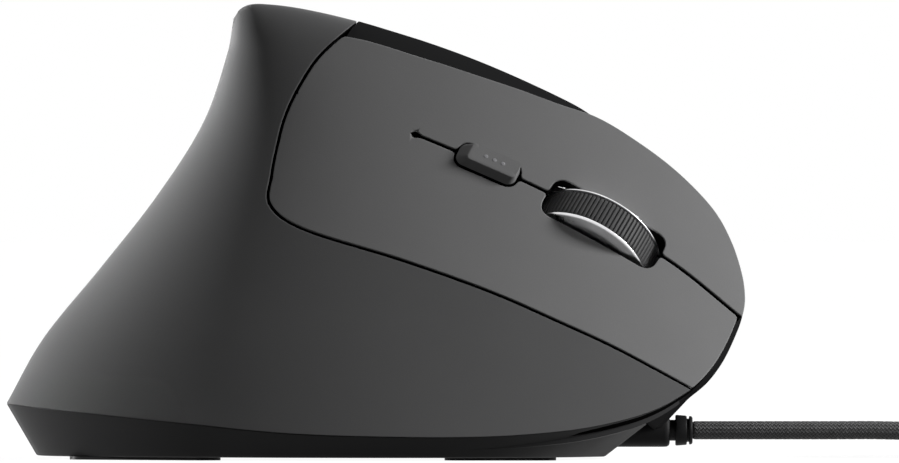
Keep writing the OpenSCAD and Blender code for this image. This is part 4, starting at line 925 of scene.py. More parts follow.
        thick = np.interp(w, across, [0.2, 0.3, 0.6, 1, 0.9, 0.8, 0.8])
        fade = step_up((np.concatenate([np.zeros(len(tuck)), knot]) - 4.5) / 1.5)[:, None]
        wall = 1.6 * (thick + fade * (thin - thick))
        obj = Skin("trim_skin", grid, (True, True, True, True), wall, 0.2).build()
        return settle(obj, Body.ROOT, [finish], "ridge_trim")

    def base(self, finish: Material) -> list[Object]:
        """Base tub, its bottom plate and the boss round the cord."""
        k = np.sqrt(np.linspace(0, 1, 150))
        x = FORM.REAR + (FORM.NOSE - FORM.REAR) * k * k
        lip = np.stack([x, table_value(x, FORM.LIP)], 1)
        right, left = FORM.on_face(lip, Side.FINGER), FORM.on_face(lip, Side.THUMB)
        w = np.linspace(0, 1, 40)[1:-1, None]
        nose = right[-1] + w * (left[-1] - right[-1]) + 0.1 * 4 * w * (1 - w) * np.array([1, 0, 0])
        loop = even(np.vstack([right, nose, left[::-1][:-1]]), 0.9, True)
        rim = loop - np.array([0, 0, 1]) * self.rim_gap
        foot_x = table_value(loop[:, 0], [(-60, -55.1), (-30, -28), (0, 0), (25, 21), (53, 38.3)])
        foot_y = loop[:, 1] * (1 - 0.022 * (loop[:, 2] - self.base_z))
        foot = np.stack([foot_x, foot_y, np.full(len(loop), self.base_z)], 1)
        d = np.roll(loop, -1, 0) - np.roll(loop, 1, 0)
        into = unit(np.stack([-d[:, 1], d[:, 0], np.zeros(len(d))], 1))
        down = unit(foot - rim)
        rows = [rim + 1.9 * into - [0, 0, 2.0], rim + 1.8 * into, rim + 0.8 * into]
        for a in np.radians([0, 20, 42, 66, 90]):
            rows.append(rim + 0.12 * ((1 - np.sin(a)) * into + (1 - np.cos(a)) * down))
        rows += [rim + f * (foot - rim) for f in (0.02, 0.05, *np.linspace(0.12, 0.82, 10))]
        for a in np.radians([0, 22, 45, 68, 90]):
            rows.append(foot + 0.3 * ((1 - np.sin(a)) * -down + (1 - np.cos(a)) * into))
        rows += [foot + 2.0 * into, foot + 2.0 * into + [0, 0, 1.2]]
        grid = np.array(rows)
        faces = quads(len(rows), len(loop), True, True, flip=False)
        tub = mesh_object("base_skin", grid.reshape(-1, 3), faces, sharp=50)
        inner = even((foot + 1.6 * into)[:, :2], 0.9, True)
        holes = []
        a = round_angles(40)
        for px, py, r in [(*p, 2.3) for p in self.screws] + [(-12, 0, 4.5)]:
            holes.append(np.stack([px + r * np.cos(a), py + r * np.sin(a)], 1))
        under = np.array([[0.0, 0, -1]])
        lift = lambda q: (np.column_stack([q, np.full(len(q), self.base_z)]), np.repeat(under, len(q), 0))
        edges = [shut_line(h) for h in holes]
        plate = Moulding("base_plate_skin", inner, lift, edges, holes, True, 0.3, 1.6, 4.0).build()
        profile = (
            (38, 0.6), (38, 2.7), (46.9, 2.7), (47.3, 2.66), (47.6, 2.5), (47.75, 2.25), (47.8, 1.75), (40, 1.75),
        )
        boss = Lathe("cord_boss", profile).build()
        settle(tub, Body.ROOT, [finish], "base_shell")
        return [tub, *(settle(obj, Body.ROOT, [finish]) for obj in (plate, boss))]


CORD_Y, CORD_Z = -1.5, 4.6
CORD_FRAME = np.array([[0, CORD_Y, CORD_Z], [0, 1, 0], [0, 0, 1], [1, 0, 0]], float)


@dataclass
class Lathe:
    """A turned piece.

    Args:
        name: the piece's name.
        profile: place along the axis and radius of each point, in order.
        at: frame with its axis in the last row.
        steps: faces round the axis.
        closed: True to join the last point to the first.
        sharp: angle in degrees past which an edge stays sharp.
    """

    name: str
    profile: Sequence[tuple[float, float]]
    at: Array = field(default_factory=lambda: CORD_FRAME)
    steps: int = 96
    closed: bool = True
    sharp: float = 35

    def build(self) -> Object:
        """Makes the mesh."""
        p = np.array(self.profile, float)
        ring = turned(self.at, round_angles(self.steps))
        grid = self.at[0] + p[:, 1][:, None, None] * ring + p[:, 0][:, None, None] * self.at[3]
        faces = quads(len(p), self.steps, self.closed, True, flip=True)
        return mesh_object(self.name, grid.reshape(-1, 3), faces, sharp=self.sharp)


@dataclass
class Loft:
    """A piece through a stack of outlines with flat ends.

    Args:
        name: the piece's name.
        sections: length, width, corner radius and height of each outline, then how far it moves along and across.
        at: frame; outlines lie across its two middle rows.
        corner: points in each corner.
        sharp: angle in degrees past which an edge stays sharp.
    """

    name: str
    sections: Sequence[tuple[float, ...]]
    at: Array
    corner: int = 10
    sharp: float = 40

    def build(self) -> Object:
        """Makes the mesh."""
        rows = []
        for length, width, r, z, *move in self.sections:
            q = rounded_box(length, width, min(r, width / 2 - 0.01, length / 2 - 0.01), self.corner)
            q = q + np.array(move or (0.0, 0.0))
            rows.append(self.at[0] + q[:, :1] * self.at[1] + q[:, 1:] * self.at[2] + z * self.at[3])
        grid = np.array(rows)
        m, n = grid.shape[:2]
        faces = quads(m, n, False, True, flip=True)
        verts = np.vstack([grid.reshape(-1, 3), grid[0].mean(0), grid[-1].mean(0)])
        faces += [(m * n, (i + 1) % n, i) for i in range(n)]
        faces += [(m * n + 1, (m - 1) * n + i, (m - 1) * n + (i + 1) % n) for i in range(n)]
        return mesh_object(self.name, verts, faces, sharp=self.sharp)


def eased(
    length: float, width: float, r: float, low: float, top: float, inset: float, ease: float, start: float
) -> list:
    """Sections of a cap with a straight foot, a slanted side and softened edges.

    Args:
        length: length of the foot.
        width: width of the foot.
        r: corner radius of the foot.
        low: height of its underside.
        top: height of its top.
        inset: how far the top stands in all round.
        ease: radius of its softened edges.
        start: height where the slanted side starts.

    Returns:
        Sections for a loft.
    """
    rise = top - start
    rows = [(0.8 * f, r, start + rise * f - ease * (1 - f * 5) * 0.5) for f in (0.03, 0.1, 0.2)]
    rows += [(f, r * (1 - 0.3 * f), start + rise * f) for f in (0.35, 0.55, 0.75, 0.86)]
    for f, g in ((0.94, 0.935), (0.99, 0.965), (1.05, 0.987), (1.14, 1.0)):
        rows.append((f, r * (1 - 0.4 * f), start + rise * g))
    rows.append((1.3, r * 0.5, top))
    foot = [(length, width, r, low), (length, width, r, start - ease)]
    return foot + [(length - 2 * inset * f, width - 2 * inset * f, corner, z) for f, corner, z in rows]


@dataclass
class Wheel:
    """Ribbed tyre between two bright rims.

    Args:
        radius: radius over the ribs.
        width: width over the rims.
        rim: thickness of a rim.
        ribs: ribs round the tyre.
        depth: depth between ribs.
        sink: depth of its axle under the finger face.
        bore: radius of the tyre's bore.
    """

    radius: float = 11.0
    width: float = 7.2
    rim: float = 1.0
    ribs: int = 96
    depth: float = 0.3
    sink: float = 8.1
    bore: float = 4.0

    def frame(self) -> Array:
        """Frame with the axle in its last row."""
        fr = FORM.face_frame(FORM.WHEEL_X)
        return np.stack([fr[0] - self.sink * fr[3] - FORM.WHEEL_LOW * fr[2], fr[3], fr[1], fr[2]])

    def build(self, rubber: Material, chrome: Material) -> None:
        """Makes the tyre and the two rims."""
        fr = self.frame()
        half = self.width / 2 - self.rim
        steps = self.ribs * 8
        a = round_angles(steps)
        ring = turned(fr, a)
        wave = np.clip(2.0 * np.cos(a * self.ribs) + 0.9, -1, 1)
        wave = (1 - wave) / 2
        edge = np.array([0, 0.15, 0.45, 0.9])
        across = np.concatenate([edge - half, [0], (half - edge)[::-1]])
        crown = np.array([0.5, 0.22, 0.06, 0.01, 0, 0.01, 0.06, 0.22, 0.5])
        deep = np.array([0.15, 0.6, 1, 1, 1, 1, 1, 0.6, 0.15])
        rows = []
        for y, c, k in zip(across, crown, deep):
            r = self.radius - c - self.depth * k * wave
            rows.append(fr[0] + r[:, None] * ring + y * fr[3])
        rows += [fr[0] + self.bore * ring + y * fr[3] for y in (half, -half)]
        faces = quads(len(rows), steps, True, True, flip=True)
        tyre = mesh_object("tyre_ribbed", np.array(rows).reshape(-1, 3), faces, sharp=32)
        settle(tyre, Body.WHEEL, [rubber], "wheel_tyre")
        self.rims(fr, half, chrome)

    def rims(self, fr: Array, half: float, chrome: Material) -> None:
        """Makes the two rims, each turned outward from the tyre's side."""
        r = self.radius
        side = [
            (0, 3.5), (0, r + 0.02), (0.04, r + 0.08), (0.1, r + 0.1), (0.16, r + 0.09), (0.22, r + 0.05),
            (0.3, r - 0.03), (0.36, r - 0.13), (0.42, r - 0.26), (0.47, r - 0.45), (0.53, r - 0.67),
            (0.61, r - 0.94), (0.68, r - 1.21), (0.75, r - 1.48), (0.8, r - 1.7), (0.82, r - 2.0),
            (0.82, r - 3.2), (0.76, 6.5), (0.6, 5.0), (0.45, 3.5),
        ]
        for name, way, nodes in (("rim_upper", 1, ("wheel_rims",)), ("rim_lower", -1, ())):
            axis = fr.copy()
            axis[0] = fr[0] + way * half * fr[3]
            axis[3] = way * fr[3]
            axis[2] = way * fr[2]
            rim = Lathe(name, side, axis, 160, sharp=60).build()
            settle(rim, Body.WHEEL, [chrome], *nodes)


@dataclass
class Caps:
    """Speed button and the two thumb buttons.

    Args:
        speed: length, width and corner radius of the speed button.
        speed_rise: how far the speed button stands out.
        thumb: length, width and distance from the middle of a thumb button.
        thumb_rise: how far a thumb button stands out.
    """

    speed: tuple[float, float, float] = (10.5, 4.3, 1.5)
    speed_rise: float = 1.35
    thumb: tuple[float, float, float] = (16.0, 5.4, 9.2)
    thumb_rise: float = 1.2

    def wedge(self) -> list:
        """Sections of the speed button: steep at its front and upper sides, facets at its rear and lower sides."""
        length, width, r = self.speed
        out = [(length + 1.4, width + 1.4, r + 0.4, z) for z in (-3.5, -3.0)]
        out += [(length, width, r, -2.99), (length, width, r, 0.12)]
        steps = [(0.04, 0.03), (0.2, 0.2), (0.5, 0.5), (0.8, 0.8)]
        steps += [(0.93, 0.915), (0.99, 0.96), (1.05, 0.987), (1.12, 1.0)]
        for f, g in steps:
            a, b = 1.75 * f, 0.95 * f
            z = 0.15 + (self.speed_rise - 0.15) * g
            out.append((length - 1.12 * a, width - 1.12 * b, r * (1 - 0.55 * f), z, 0.44 * a, 0.44 * b))
        out.append((length - 3.4, width - 2.2, r * 0.5, self.speed_rise, 0.6, 0.35))
        return out

    def build(self, finish: Material, marks: Material, core_and_shade: Material) -> None:
        """Makes the three buttons and the speed button's marks."""
        fr = FORM.face_frame(FORM.SPEED_X)
        top = settle(Loft("speed_cap", self.wedge(), fr, 12).build(), Body.SPEED, [finish, core_and_shade], "speed_button")
        # Painted shadow: the foot wall below the cap's top takes the black finish, for the dark gap round the button.
        for face in top.data.polygons:
            heights = [(np.array(top.data.vertices[i].co) / MM - fr[0]) @ fr[3] for i in face.vertices]
            face.material_index = int(min(heights) < -1)
        pip = ((0, 0.01), (0, 0.34), (0.06, 0.34), (0.09, 0.3), (0.1, 0.2), (0.1, 0.01))
        for k in (-1, 0, 1):
            dot = fr.copy()
            dot[0] = fr[0] + (0.8 + 1.5 * k) * fr[1] + 0.5 * fr[2] + (self.speed_rise - 0.05) * fr[3]
            settle(Lathe(f"speed_mark_{k + 2}", pip, dot, 24).build(), Body.SPEED, [marks])
        fr = FORM.thumb_frame()
        length, width, at = self.thumb
        sections = eased(length, width, width / 2, -3.0, self.thumb_rise, 0.6, 0.2, 0.0)
        for name, s, body in (("back_cap", -1, Body.BACK), ("forward_cap", 1, Body.FORWARD)):
            here = fr.copy()
            here[0] = fr[0] + s * at * fr[1]
            settle(Loft(name, sections, here, 16).build(), body, [finish], body.value)


@dataclass
class Cord:
    """Braided cord from the strain relief to the plug, put away in a coil.

    Args:
        diameter: cord diameter.
        sides: faces round the cord.
        strands: strands that run each way round.
        pitch: length of one turn of a strand.
        relief: depth of the braid.
        layer: degrees wound in one layer of the coil.
        layers: layers of the coil.
        coil: largest radius of the coil and how far it winds inward.
        rise: height of the lowest layer and from one layer to the next.
        plug: height of the plug's middle.
    """

    diameter: float = 3.0
    sides: int = 48
    strands: int = 12
    pitch: float = 9.0
    relief: float = 0.07
    layer: float = 1080
    layers: int = 4
    coil: tuple[float, float] = (23.25, 10.5)
    rise: tuple[float, float] = (2.5, 3.5)
    plug: float = 4.0

    LEAD = [
        (51.5, 4.6), (58, 4.6), (66, 4.6), (74, 4.6), (82, 4.6), (90, 4.3), (97, 3.55), (104, 2.7), (108.25, 2.5),
        (111.25, 2.5),
    ]
    CENTRE = (114.25, 21.75)

    def path(self) -> Array:
        """Points along the middle of the cord: its lead, its coil and its tail."""
        lead = even(spline(self.LEAD, np.linspace(0, 1, 400)), 0.3)
        lead = np.column_stack([lead[:, 0], np.full(len(lead), CORD_Y), lead[:, 1]])
        a = np.arange(0, self.layers * self.layer + 1, 4.0)
        k = np.floor(a / self.layer)
        f = a / self.layer - k
        r = self.coil[0] - self.coil[1] * np.where(k % 2 == 0, f, 1 - f)
        climb = sum(step_up((a - self.layer * j) / 180 + 0.5) for j in range(1, self.layers))
        z = self.rise[0] + self.rise[1] * climb
        t = np.radians(a)
        coil = np.column_stack([self.CENTRE[0] + r * np.sin(t), self.CENTRE[1] - r * np.cos(t), z])
        f = np.linspace(0, 1, 40)
        drop = z[-1] - self.plug
        tail = np.column_stack([119.25 + 22 * f, np.full(40, CORD_Y), self.plug + drop * (1 - step_up(f))])
        tail = np.vstack([[117.25, CORD_Y, z[-1]], tail, [144.9, CORD_Y, self.plug]])
        return np.vstack([lead, coil, tail])

    def build(self, finish: Material, pieces: Sequence[Object]) -> Object:
        """Makes the tube with its braid."""
        p = self.path()
        d = unit(np.gradient(p, axis=0))
        side = unit(np.cross(d, np.array([0, 0, 1.0])))
        up = np.cross(side, d)
        s = np.concatenate([[0], np.cumsum(np.linalg.norm(np.diff(p, axis=0), axis=1))])
        a = round_angles(self.sides)
        n = self.strands
        one = np.cos(n * (a[None] + 2 * np.pi * s[:, None] / self.pitch))
        two = np.cos(n * (a[None] - 2 * np.pi * s[:, None] / self.pitch))
        bump = np.maximum(one, two) * 0.5 + 0.5
        r = self.diameter / 2 - self.relief * (1 - bump)
        r[0] *= 0.9
        r[-1] *= 0.9
        ring = np.cos(a)[None, :, None] * side[:, None] + np.sin(a)[None, :, None] * up[:, None]
        grid = p[:, None] + r[..., None] * ring
        m = len(p)
        faces = quads(m, self.sides, False, True, flip=False)
        faces += [tuple(range(self.sides)), tuple(range(m * self.sides - 1, (m - 1) * self.sides - 1, -1))]
        obj = mesh_object("cord_braid", grid.reshape(-1, 3), faces, sharp=60)
        uv = obj.data.uv_layers.new(name="along")
        turn = np.arange(self.sides) / self.sides
        for poly in obj.data.polygons:
            wrap = len(poly.vertices) == 4 and {poly.vertices[k] % self.sides for k in range(4)} >= {0, self.sides - 1}
            for loop in poly.loop_indices:
                v = obj.data.loops[loop].vertex_index
                u = turn[v % self.sides]
                uv.data[loop].uv = (u + 1 if wrap and u < 0.5 else u, s[v // self.sides] / self.pitch)
        settle(obj, Body.ROOT, [finish], "cord_lead", "cord_coil", "cord_tail")
        LOG.info("cord: %.3f m", s[-1] * MM)
        return obj


@dataclass
class Fittings:
    """Strain relief, cable tie and plug.

    Args:
        tie_x: middle and width of the tie along x.
        tie_y: where the tie starts and ends along y.
        tie_top: height of the tie.
        tie_t: thickness of the tie.
        tie_edge: chamfer of the tie's edges.
    """

    tie_x: tuple[float, float] = (114.25, 8.0)
    tie_y: tuple[float, float] = (31.1, 47.6)
    tie_top: float = 15.5
    tie_t: float = 0.7
    tie_edge: float = 0.15

    def relief(self, finish: Material) -> Object:
        """Rubber gland with its flange."""
        profile = (
            (38, 0.4), (38, 1.7), (48.7, 1.7), (48.7, 2.36), (48.78, 2.46), (48.92, 2.5), (49.6, 2.45), (50.4, 2.38),
            (50.5, 2.34), (50.56, 2.2), (50.58, 1.9), (50.9, 1.9), (50.92, 2.2), (50.98, 2.31), (51.1, 2.32),
            (51.3, 2.28), (51.42, 2.18), (51.5, 2.0), (51.5, 1.55), (51.0, 0.4),
        )
        obj = Lathe("relief_skin", profile, steps=72, sharp=50).build()
        return settle(obj, Body.ROOT, [finish], "strain_relief")

    def tie(self, finish: Material) -> Object:
        """Strap round one side of the coil, with its end lapped over."""
        y0, y1 = self.tie_y
        mid = np.array([(y0 + y1) / 2, self.tie_top / 2])
        loop = even(rounded_box(y1 - y0 - self.tie_t, self.tie_top - self.tie_t, 1.85, 12), 0.35, True) + mid
        d = unit(np.roll(loop, -1, 0) - np.roll(loop, 1, 0))
        out = np.stack([d[:, 1], -d[:, 0]], 1)
        lap = np.where((loop[:, 1] > mid[1]) & (np.abs(loop[:, 0] - mid[0] - 1) < 4.5), 0.6, 0.0)
        half = self.tie_x[1] / 2
        t = self.tie_t / 2
        e = self.tie_edge
        section = [(-half, -t + e), (-half + e, -t), (half - e, -t), (half, -t + e)]
        section += [(half, t - e), (half - e, t), (-half + e, t), (-half, t - e)]
        rows = []
        for x, h in section:
            lift = h + (lap if h > 0 else 0)
            q = loop + (np.asarray(lift) * np.ones(len(loop)))[:, None] * out
            rows.append(np.column_stack([np.full(len(q), self.tie_x[0] + x), q]))
        grid = np.array(rows)
        obj = mesh_object("tie_strap", grid.reshape(-1, 3), quads(len(rows), len(loop), True, True), sharp=50)
        return settle(obj, Body.ROOT, [finish], "cable_tie")

    def grip(self, finish: Material) -> Object:
        """Plug grip: a tapered neck with rings, then a rounded block with grooves."""
        at = np.array([[0, CORD_Y, 4.0], [0, 1, 0], [0, 0, 1], [1, 0, 0]], float)
        sections = [(4.0, 4.0, 2.0, 144.25), (4.2, 4.2, 2.1, 144.35)]
        for k in range(3):
            x = 145.0 + 2.1 * k
            sections += [(4.4 + 0.35 * k, 4.4 + 0.35 * k, 3, x), (3.7 + 0.3 * k, 3.7 + 0.3 * k, 3, x + 0.15)]
            sections += [(3.8 + 0.3 * k, 3.8 + 0.3 * k, 3, x + 0.75), (4.6 + 0.35 * k, 4.6 + 0.35 * k, 3, x + 0.9)]
        sections += [(5.6, 5.6, 2.8, 151.25), (9.0, 6.6, 2.6, 151.26), (13.0, 7.4, 2.3, 151.6)]
        sections += [(15.2, 7.8, 2.1, 152.3), (16, 8, 2, 153.4)]
        for k in range(4):
            x = 157 + 2.2 * k
            sections += [(16, 8, 2, x), (15.3, 8, 2, x + 0.25), (15.3, 8, 2, x + 0.75), (16, 8, 2, x + 1.0)]
        sections += [(16, 8, 2, 173.8), (15.7, 7.7, 1.9, 174.7), (15.0, 7.0, 1.7, 175.25)]
        obj = Loft("plug_grip_skin", sections, at, 10, sharp=38).build()
        return settle(obj, Body.ROOT, [finish], "plug_grip")


class Groups:
    """Shader node groups that the finishes share, each made once."""

    @staticmethod
    def start(name: str, inputs: dict[str, tuple[str, object]], outputs: dict[str, str]) -> tuple:
        """An empty group with its sockets.

        Args:
            name: the group's name.
            inputs: socket name to type and default value.
            outputs: socket name to type.

        Returns:
            The tree, its input node and its output node.
        """
        tree = bpy.data.node_groups.new(name, "ShaderNodeTree")
        for key, (kind, value) in inputs.items():
            tree.interface.new_socket(name=key, in_out="INPUT", socket_type=kind).default_value = value
        for key, kind in outputs.items():
            tree.interface.new_socket(name=key, in_out="OUTPUT", socket_type=kind)
        return tree, tree.nodes.new("NodeGroupInput"), tree.nodes.new("NodeGroupOutput")

    @staticmethod
    def math(tree: NodeTree, operation: str, a: object, b: object, clamp: bool = False) -> NodeSocket:
        """One step of sums on sockets or numbers."""
        node = tree.nodes.new("ShaderNodeMath")
        node.operation = operation
        node.use_clamp = clamp
        for socket, value in zip(node.inputs, (a, b)):
            if isinstance(value, (int, float)):
                socket.default_value = value
            else:
                tree.links.new(value, socket)
        return node.outputs[0]

    @staticmethod
    def noise(tree: NodeTree, where: NodeSocket, scale: object, detail: float = 3.0) -> NodeSocket:
        """Smooth noise, 0 to 1."""
        node = tree.nodes.new("ShaderNodeTexNoise")
        node.inputs["Detail"].default_value = detail
        tree.links.new(where, node.inputs["Vector"])
        if isinstance(scale, (int, float)):
            node.inputs["Scale"].default_value = scale
        else:
            tree.links.new(scale, node.inputs["Scale"])
        return node.outputs["Fac"]

    @staticmethod
    def shade(tree: NodeTree, colour: NodeSocket, by: NodeSocket) -> NodeSocket:
        """A colour made lighter or darker by a value."""
        node = tree.nodes.new("ShaderNodeVectorMath")
        node.operation = "SCALE"
        tree.links.new(colour, node.inputs[0])
        tree.links.new(by, node.inputs["Scale"])
        return node.outputs[0]

    @classmethod
    def moulded(cls) -> NodeTree:
        """Moulded surface: fine grain, a little mottle and handling marks."""
        if "moulded_grain" in bpy.data.node_groups:
            return bpy.data.node_groups["moulded_grain"]
        tree, inn, out = cls.start(
            "moulded_grain",
            {
                "Colour": ("NodeSocketColor", (0.1, 0.1, 0.1, 1)), "Grain": ("NodeSocketFloat", 4000.0),
                "Mottle": ("NodeSocketFloat", 0.1), "Roughness": ("NodeSocketFloat", 0.5),
                "Spread": ("NodeSocketFloat", 0.1),
            },
            {"Colour": "NodeSocketColor", "Roughness": "NodeSocketFloat", "Height": "NodeSocketFloat"},
        )
        where = tree.nodes.new("ShaderNodeTexCoord").outputs["Object"]
        grain = cls.noise(tree, where, inn.outputs["Grain"], 2.0)
        broad = cls.noise(tree, where, 70.0, 4.0)
        speck = cls.math(tree, "SUBTRACT", grain, 0.5)
        tone = cls.math(tree, "MULTIPLY", speck, inn.outputs["Mottle"])
        patch = cls.math(tree, "MULTIPLY", cls.math(tree, "SUBTRACT", broad, 0.5), 0.12)
        total = cls.math(tree, "ADD", cls.math(tree, "ADD", tone, patch), 1.0)
        tree.links.new(cls.shade(tree, inn.outputs["Colour"], total), out.inputs["Colour"])
        rough = cls.math(tree, "MULTIPLY", cls.math(tree, "SUBTRACT", broad, 0.5), inn.outputs["Spread"])
        tree.links.new(cls.math(tree, "ADD", rough, inn.outputs["Roughness"], True), out.inputs["Roughness"])
        tree.links.new(grain, out.inputs["Height"])
        return tree

    @classmethod
    def braid(cls) -> NodeTree:
        """Braid of two sets of strands that cross over each other, along the cord; its colour is painted shade between
        the strands and a painted highlight on their crowns.
        """
        if "braid_weave_and_shade" in bpy.data.node_groups:
            return bpy.data.node_groups["braid_weave_and_shade"]
        tree, inn, out = cls.start(
            "braid_weave_and_shade",
            {
                "Light": ("NodeSocketColor", (0.2, 0.2, 0.2, 1)), "Dark": ("NodeSocketColor", (0.02, 0.02, 0.02, 1)),
                "Strands": ("NodeSocketFloat", 8.0),
            },
            {"Colour": "NodeSocketColor", "Height": "NodeSocketFloat"},
        )
        uv = tree.nodes.new("ShaderNodeUVMap")
        split = tree.nodes.new("ShaderNodeSeparateXYZ")
        tree.links.new(uv.outputs[0], split.inputs[0])
        across, cell = [], []
        for operation in ("ADD", "SUBTRACT"):
            turn = cls.math(tree, operation, split.outputs[0], split.outputs[1])
            count = cls.math(tree, "MULTIPLY", turn, inn.outputs["Strands"])
            cell.append(cls.math(tree, "FLOOR", count, 0.0))
            middle = cls.math(tree, "SUBTRACT", cls.math(tree, "FRACT", count, 0.0), 0.5)
            away = cls.math(tree, "MULTIPLY", cls.math(tree, "ABSOLUTE", middle, 0.0), 2.0)
            across.append(cls.math(tree, "SUBTRACT", 1.0, away))
        order = cls.math(tree, "FLOORED_MODULO", cls.math(tree, "ADD", cell[0], cell[1]), 2.0)
        first = cls.math(tree, "LESS_THAN", order, 0.5)
        one = cls.math(tree, "MULTIPLY", across[0], first)
        two = cls.math(tree, "MULTIPLY", across[1], cls.math(tree, "SUBTRACT", 1.0, first))
        height = cls.math(tree, "POWER", cls.math(tree, "ADD", one, two), 1.5)
        where = tree.nodes.new("ShaderNodeTexCoord").outputs["Object"]
        fray = cls.noise(tree, where, 2600.0, 2.0)
        worn = cls.math(tree, "ADD", cls.math(tree, "MULTIPLY", fray, 0.8), 0.6)
        # Painted highlight on the strands' crowns and painted shade between them, from the weave's height.
        share = cls.math(tree, "MULTIPLY", height, worn, True)
        mix = tree.nodes.new("ShaderNodeMix")
        mix.data_type = "RGBA"
        tree.links.new(share, mix.inputs["Factor"])
        tree.links.new(inn.outputs["Dark"], mix.inputs[6])
        tree.links.new(inn.outputs["Light"], mix.inputs[7])
        tree.links.new(mix.outputs[2], out.inputs["Colour"])
        tree.links.new(height, out.inputs["Height"])
        return tree

    @classmethod
    def brushed(cls) -> NodeTree:
        """Metal with fine drawn lines."""
        if "drawn_lines" in bpy.data.node_groups:
            return bpy.data.node_groups["drawn_lines"]
        tree, inn, out = cls.start(
            "drawn_lines",
            {
                "Colour": ("NodeSocketColor", (0.8, 0.8, 0.8, 1)), "Roughness": ("NodeSocketFloat", 0.25),
                "Lines": ("NodeSocketVector", (40.0, 900.0, 900.0)),
            },
            {"Colour": "NodeSocketColor", "Roughness": "NodeSocketFloat"},
        )
        where = tree.nodes.new("ShaderNodeTexCoord").outputs["Object"]
        scaled = tree.nodes.new("ShaderNodeVectorMath")
        scaled.operation = "MULTIPLY"
        tree.links.new(where, scaled.inputs[0])
        tree.links.new(inn.outputs["Lines"], scaled.inputs[1])
        lines = cls.noise(tree, scaled.outputs[0], 1.0, 3.0)
        tone = cls.math(tree, "ADD", cls.math(tree, "MULTIPLY", lines, 0.2), 0.9)
        tree.links.new(cls.shade(tree, inn.outputs["Colour"], tone), out.inputs["Colour"])
        least = cls.math(tree, "SUBTRACT", inn.outputs["Roughness"], 0.08)
        rough = cls.math(tree, "ADD", cls.math(tree, "MULTIPLY", lines, 0.16), least)
        tree.links.new(rough, out.inputs["Roughness"])
        return tree


def new_material(name: str) -> tuple[Material, NodeTree, Node]:
    """A material with its tree and its main shader."""
    mat = bpy.data.materials.new(name)
    mat.use_nodes = True
    tree = mat.node_tree
    return mat, tree, tree.nodes["Principled BSDF"]


def use_group(tree: NodeTree, source: NodeTree, shader: Node, values: dict[str, object]) -> Node:
    """Puts a shared group in a material and leads its colour and roughness to the shader.

    Args:
        tree: the material's tree.
        source: the shared group.
        shader: the material's main shader.
        values: values of the group's inputs.

    Returns:
        The group's node.
    """
    group = tree.nodes.new("ShaderNodeGroup")
    group.node_tree = source
    for key, value in values.items():
        group.inputs[key].default_value = value
    for key, socket in (("Colour", "Base Color"), ("Roughness", "Roughness")):
        if key in group.outputs:
            tree.links.new(group.outputs[key], shader.inputs[socket])
    return group


def raise_grain(tree: NodeTree, group: Node, shader: Node, strength: float, distance: float) -> None:
    """Leads a group's height to the shader as fine relief."""
    bump = tree.nodes.new("ShaderNodeBump")
    bump.inputs["Strength"].default_value = strength
    bump.inputs["Distance"].default_value = distance
    tree.links.new(group.outputs["Height"], bump.inputs["Height"])
    tree.links.new(bump.outputs["Normal"], shader.inputs["Normal"])


@dataclass(frozen=True)
class Plastic:
    """Moulded plastic, rubber or lacquer.

    Args:
        name: the finish's name.
        colour: linear colour.
        roughness: mean roughness.
        grain: how fine its grain is.
        depth: how strong its grain is.
        mottle: how far its grain changes its tone.
        spread: how far its roughness wanders.
        level: strength of its sheen.
        coat: clear coat.
        relief: height of its grain, in metres.
    """

    name: str
    colour: tuple[float, float, float]
    roughness: float = 0.5
    grain: float = 4200.0
    depth: float = 0.1
    mottle: float = 0.12
    spread: float = 0.1
    level: float = 0.5
    coat: float = 0.0
    relief: float = 0.0001

    def material(self) -> Material:
        """Makes the material."""
        mat, tree, shader = new_material(self.name)
        values = {key.capitalize(): getattr(self, key) for key in ("grain", "mottle", "roughness", "spread")}
        group = use_group(tree, Groups.moulded(), shader, {"Colour": (*self.colour, 1), **values})
        raise_grain(tree, group, shader, self.depth, self.relief)
        shader.inputs["Specular IOR Level"].default_value = self.level
        shader.inputs["Coat Weight"].default_value = self.coat
        return mat


@dataclass(frozen=True)
class Metal:
    """Bare or plated metal with drawn lines.

    Args:
        name: the finish's name.
        colour: linear colour.
        roughness: mean roughness.
        lines: how fine its drawn lines are along x, y and z.
    """

    name: str
    colour: tuple[float, float, float]
    roughness: float = 0.25
    lines: tuple[float, float, float] = (40.0, 900.0, 900.0)

    def material(self) -> Material:
        """Makes the material."""
        mat, tree, shader = new_material(self.name)
        values = {"Colour": (*self.colour, 1), "Roughness": self.roughness, "Lines": self.lines}
        use_group(tree, Groups.brushed(), shader, values)
        shader.inputs["Metallic"].default_value = 1.0
        return mat


@dataclass(frozen=True)
class Braid:
    """Woven sleeve of the cord, with painted shade and highlight on its weave.

    Args:
        name: the finish's name.
        light: linear colour on the strands, with a painted highlight on their crowns.
        dark: linear colour between them, painted shade.
        strands: strands that run each way round.
        roughness: mean roughness.
        depth: how strong its weave is.
        relief: height of its weave, in metres.
    """

    name: str
    light: tuple[float, float, float]
    dark: tuple[float, float, float]
    strands: float = 14.0
    roughness: float = 0.75
    depth: float = 0.5
    relief: float = 0.0002

    def material(self) -> Material:
        """Makes the material."""
        mat, tree, shader = new_material(self.name)
        values = {"Light": (*self.light, 1), "Dark": (*self.dark, 1), "Strands": self.strands}
        group = use_group(tree, Groups.braid(), shader, values)
        raise_grain(tree, group, shader, self.depth, self.relief)
        shader.inputs["Roughness"].default_value = self.roughness
        return mat


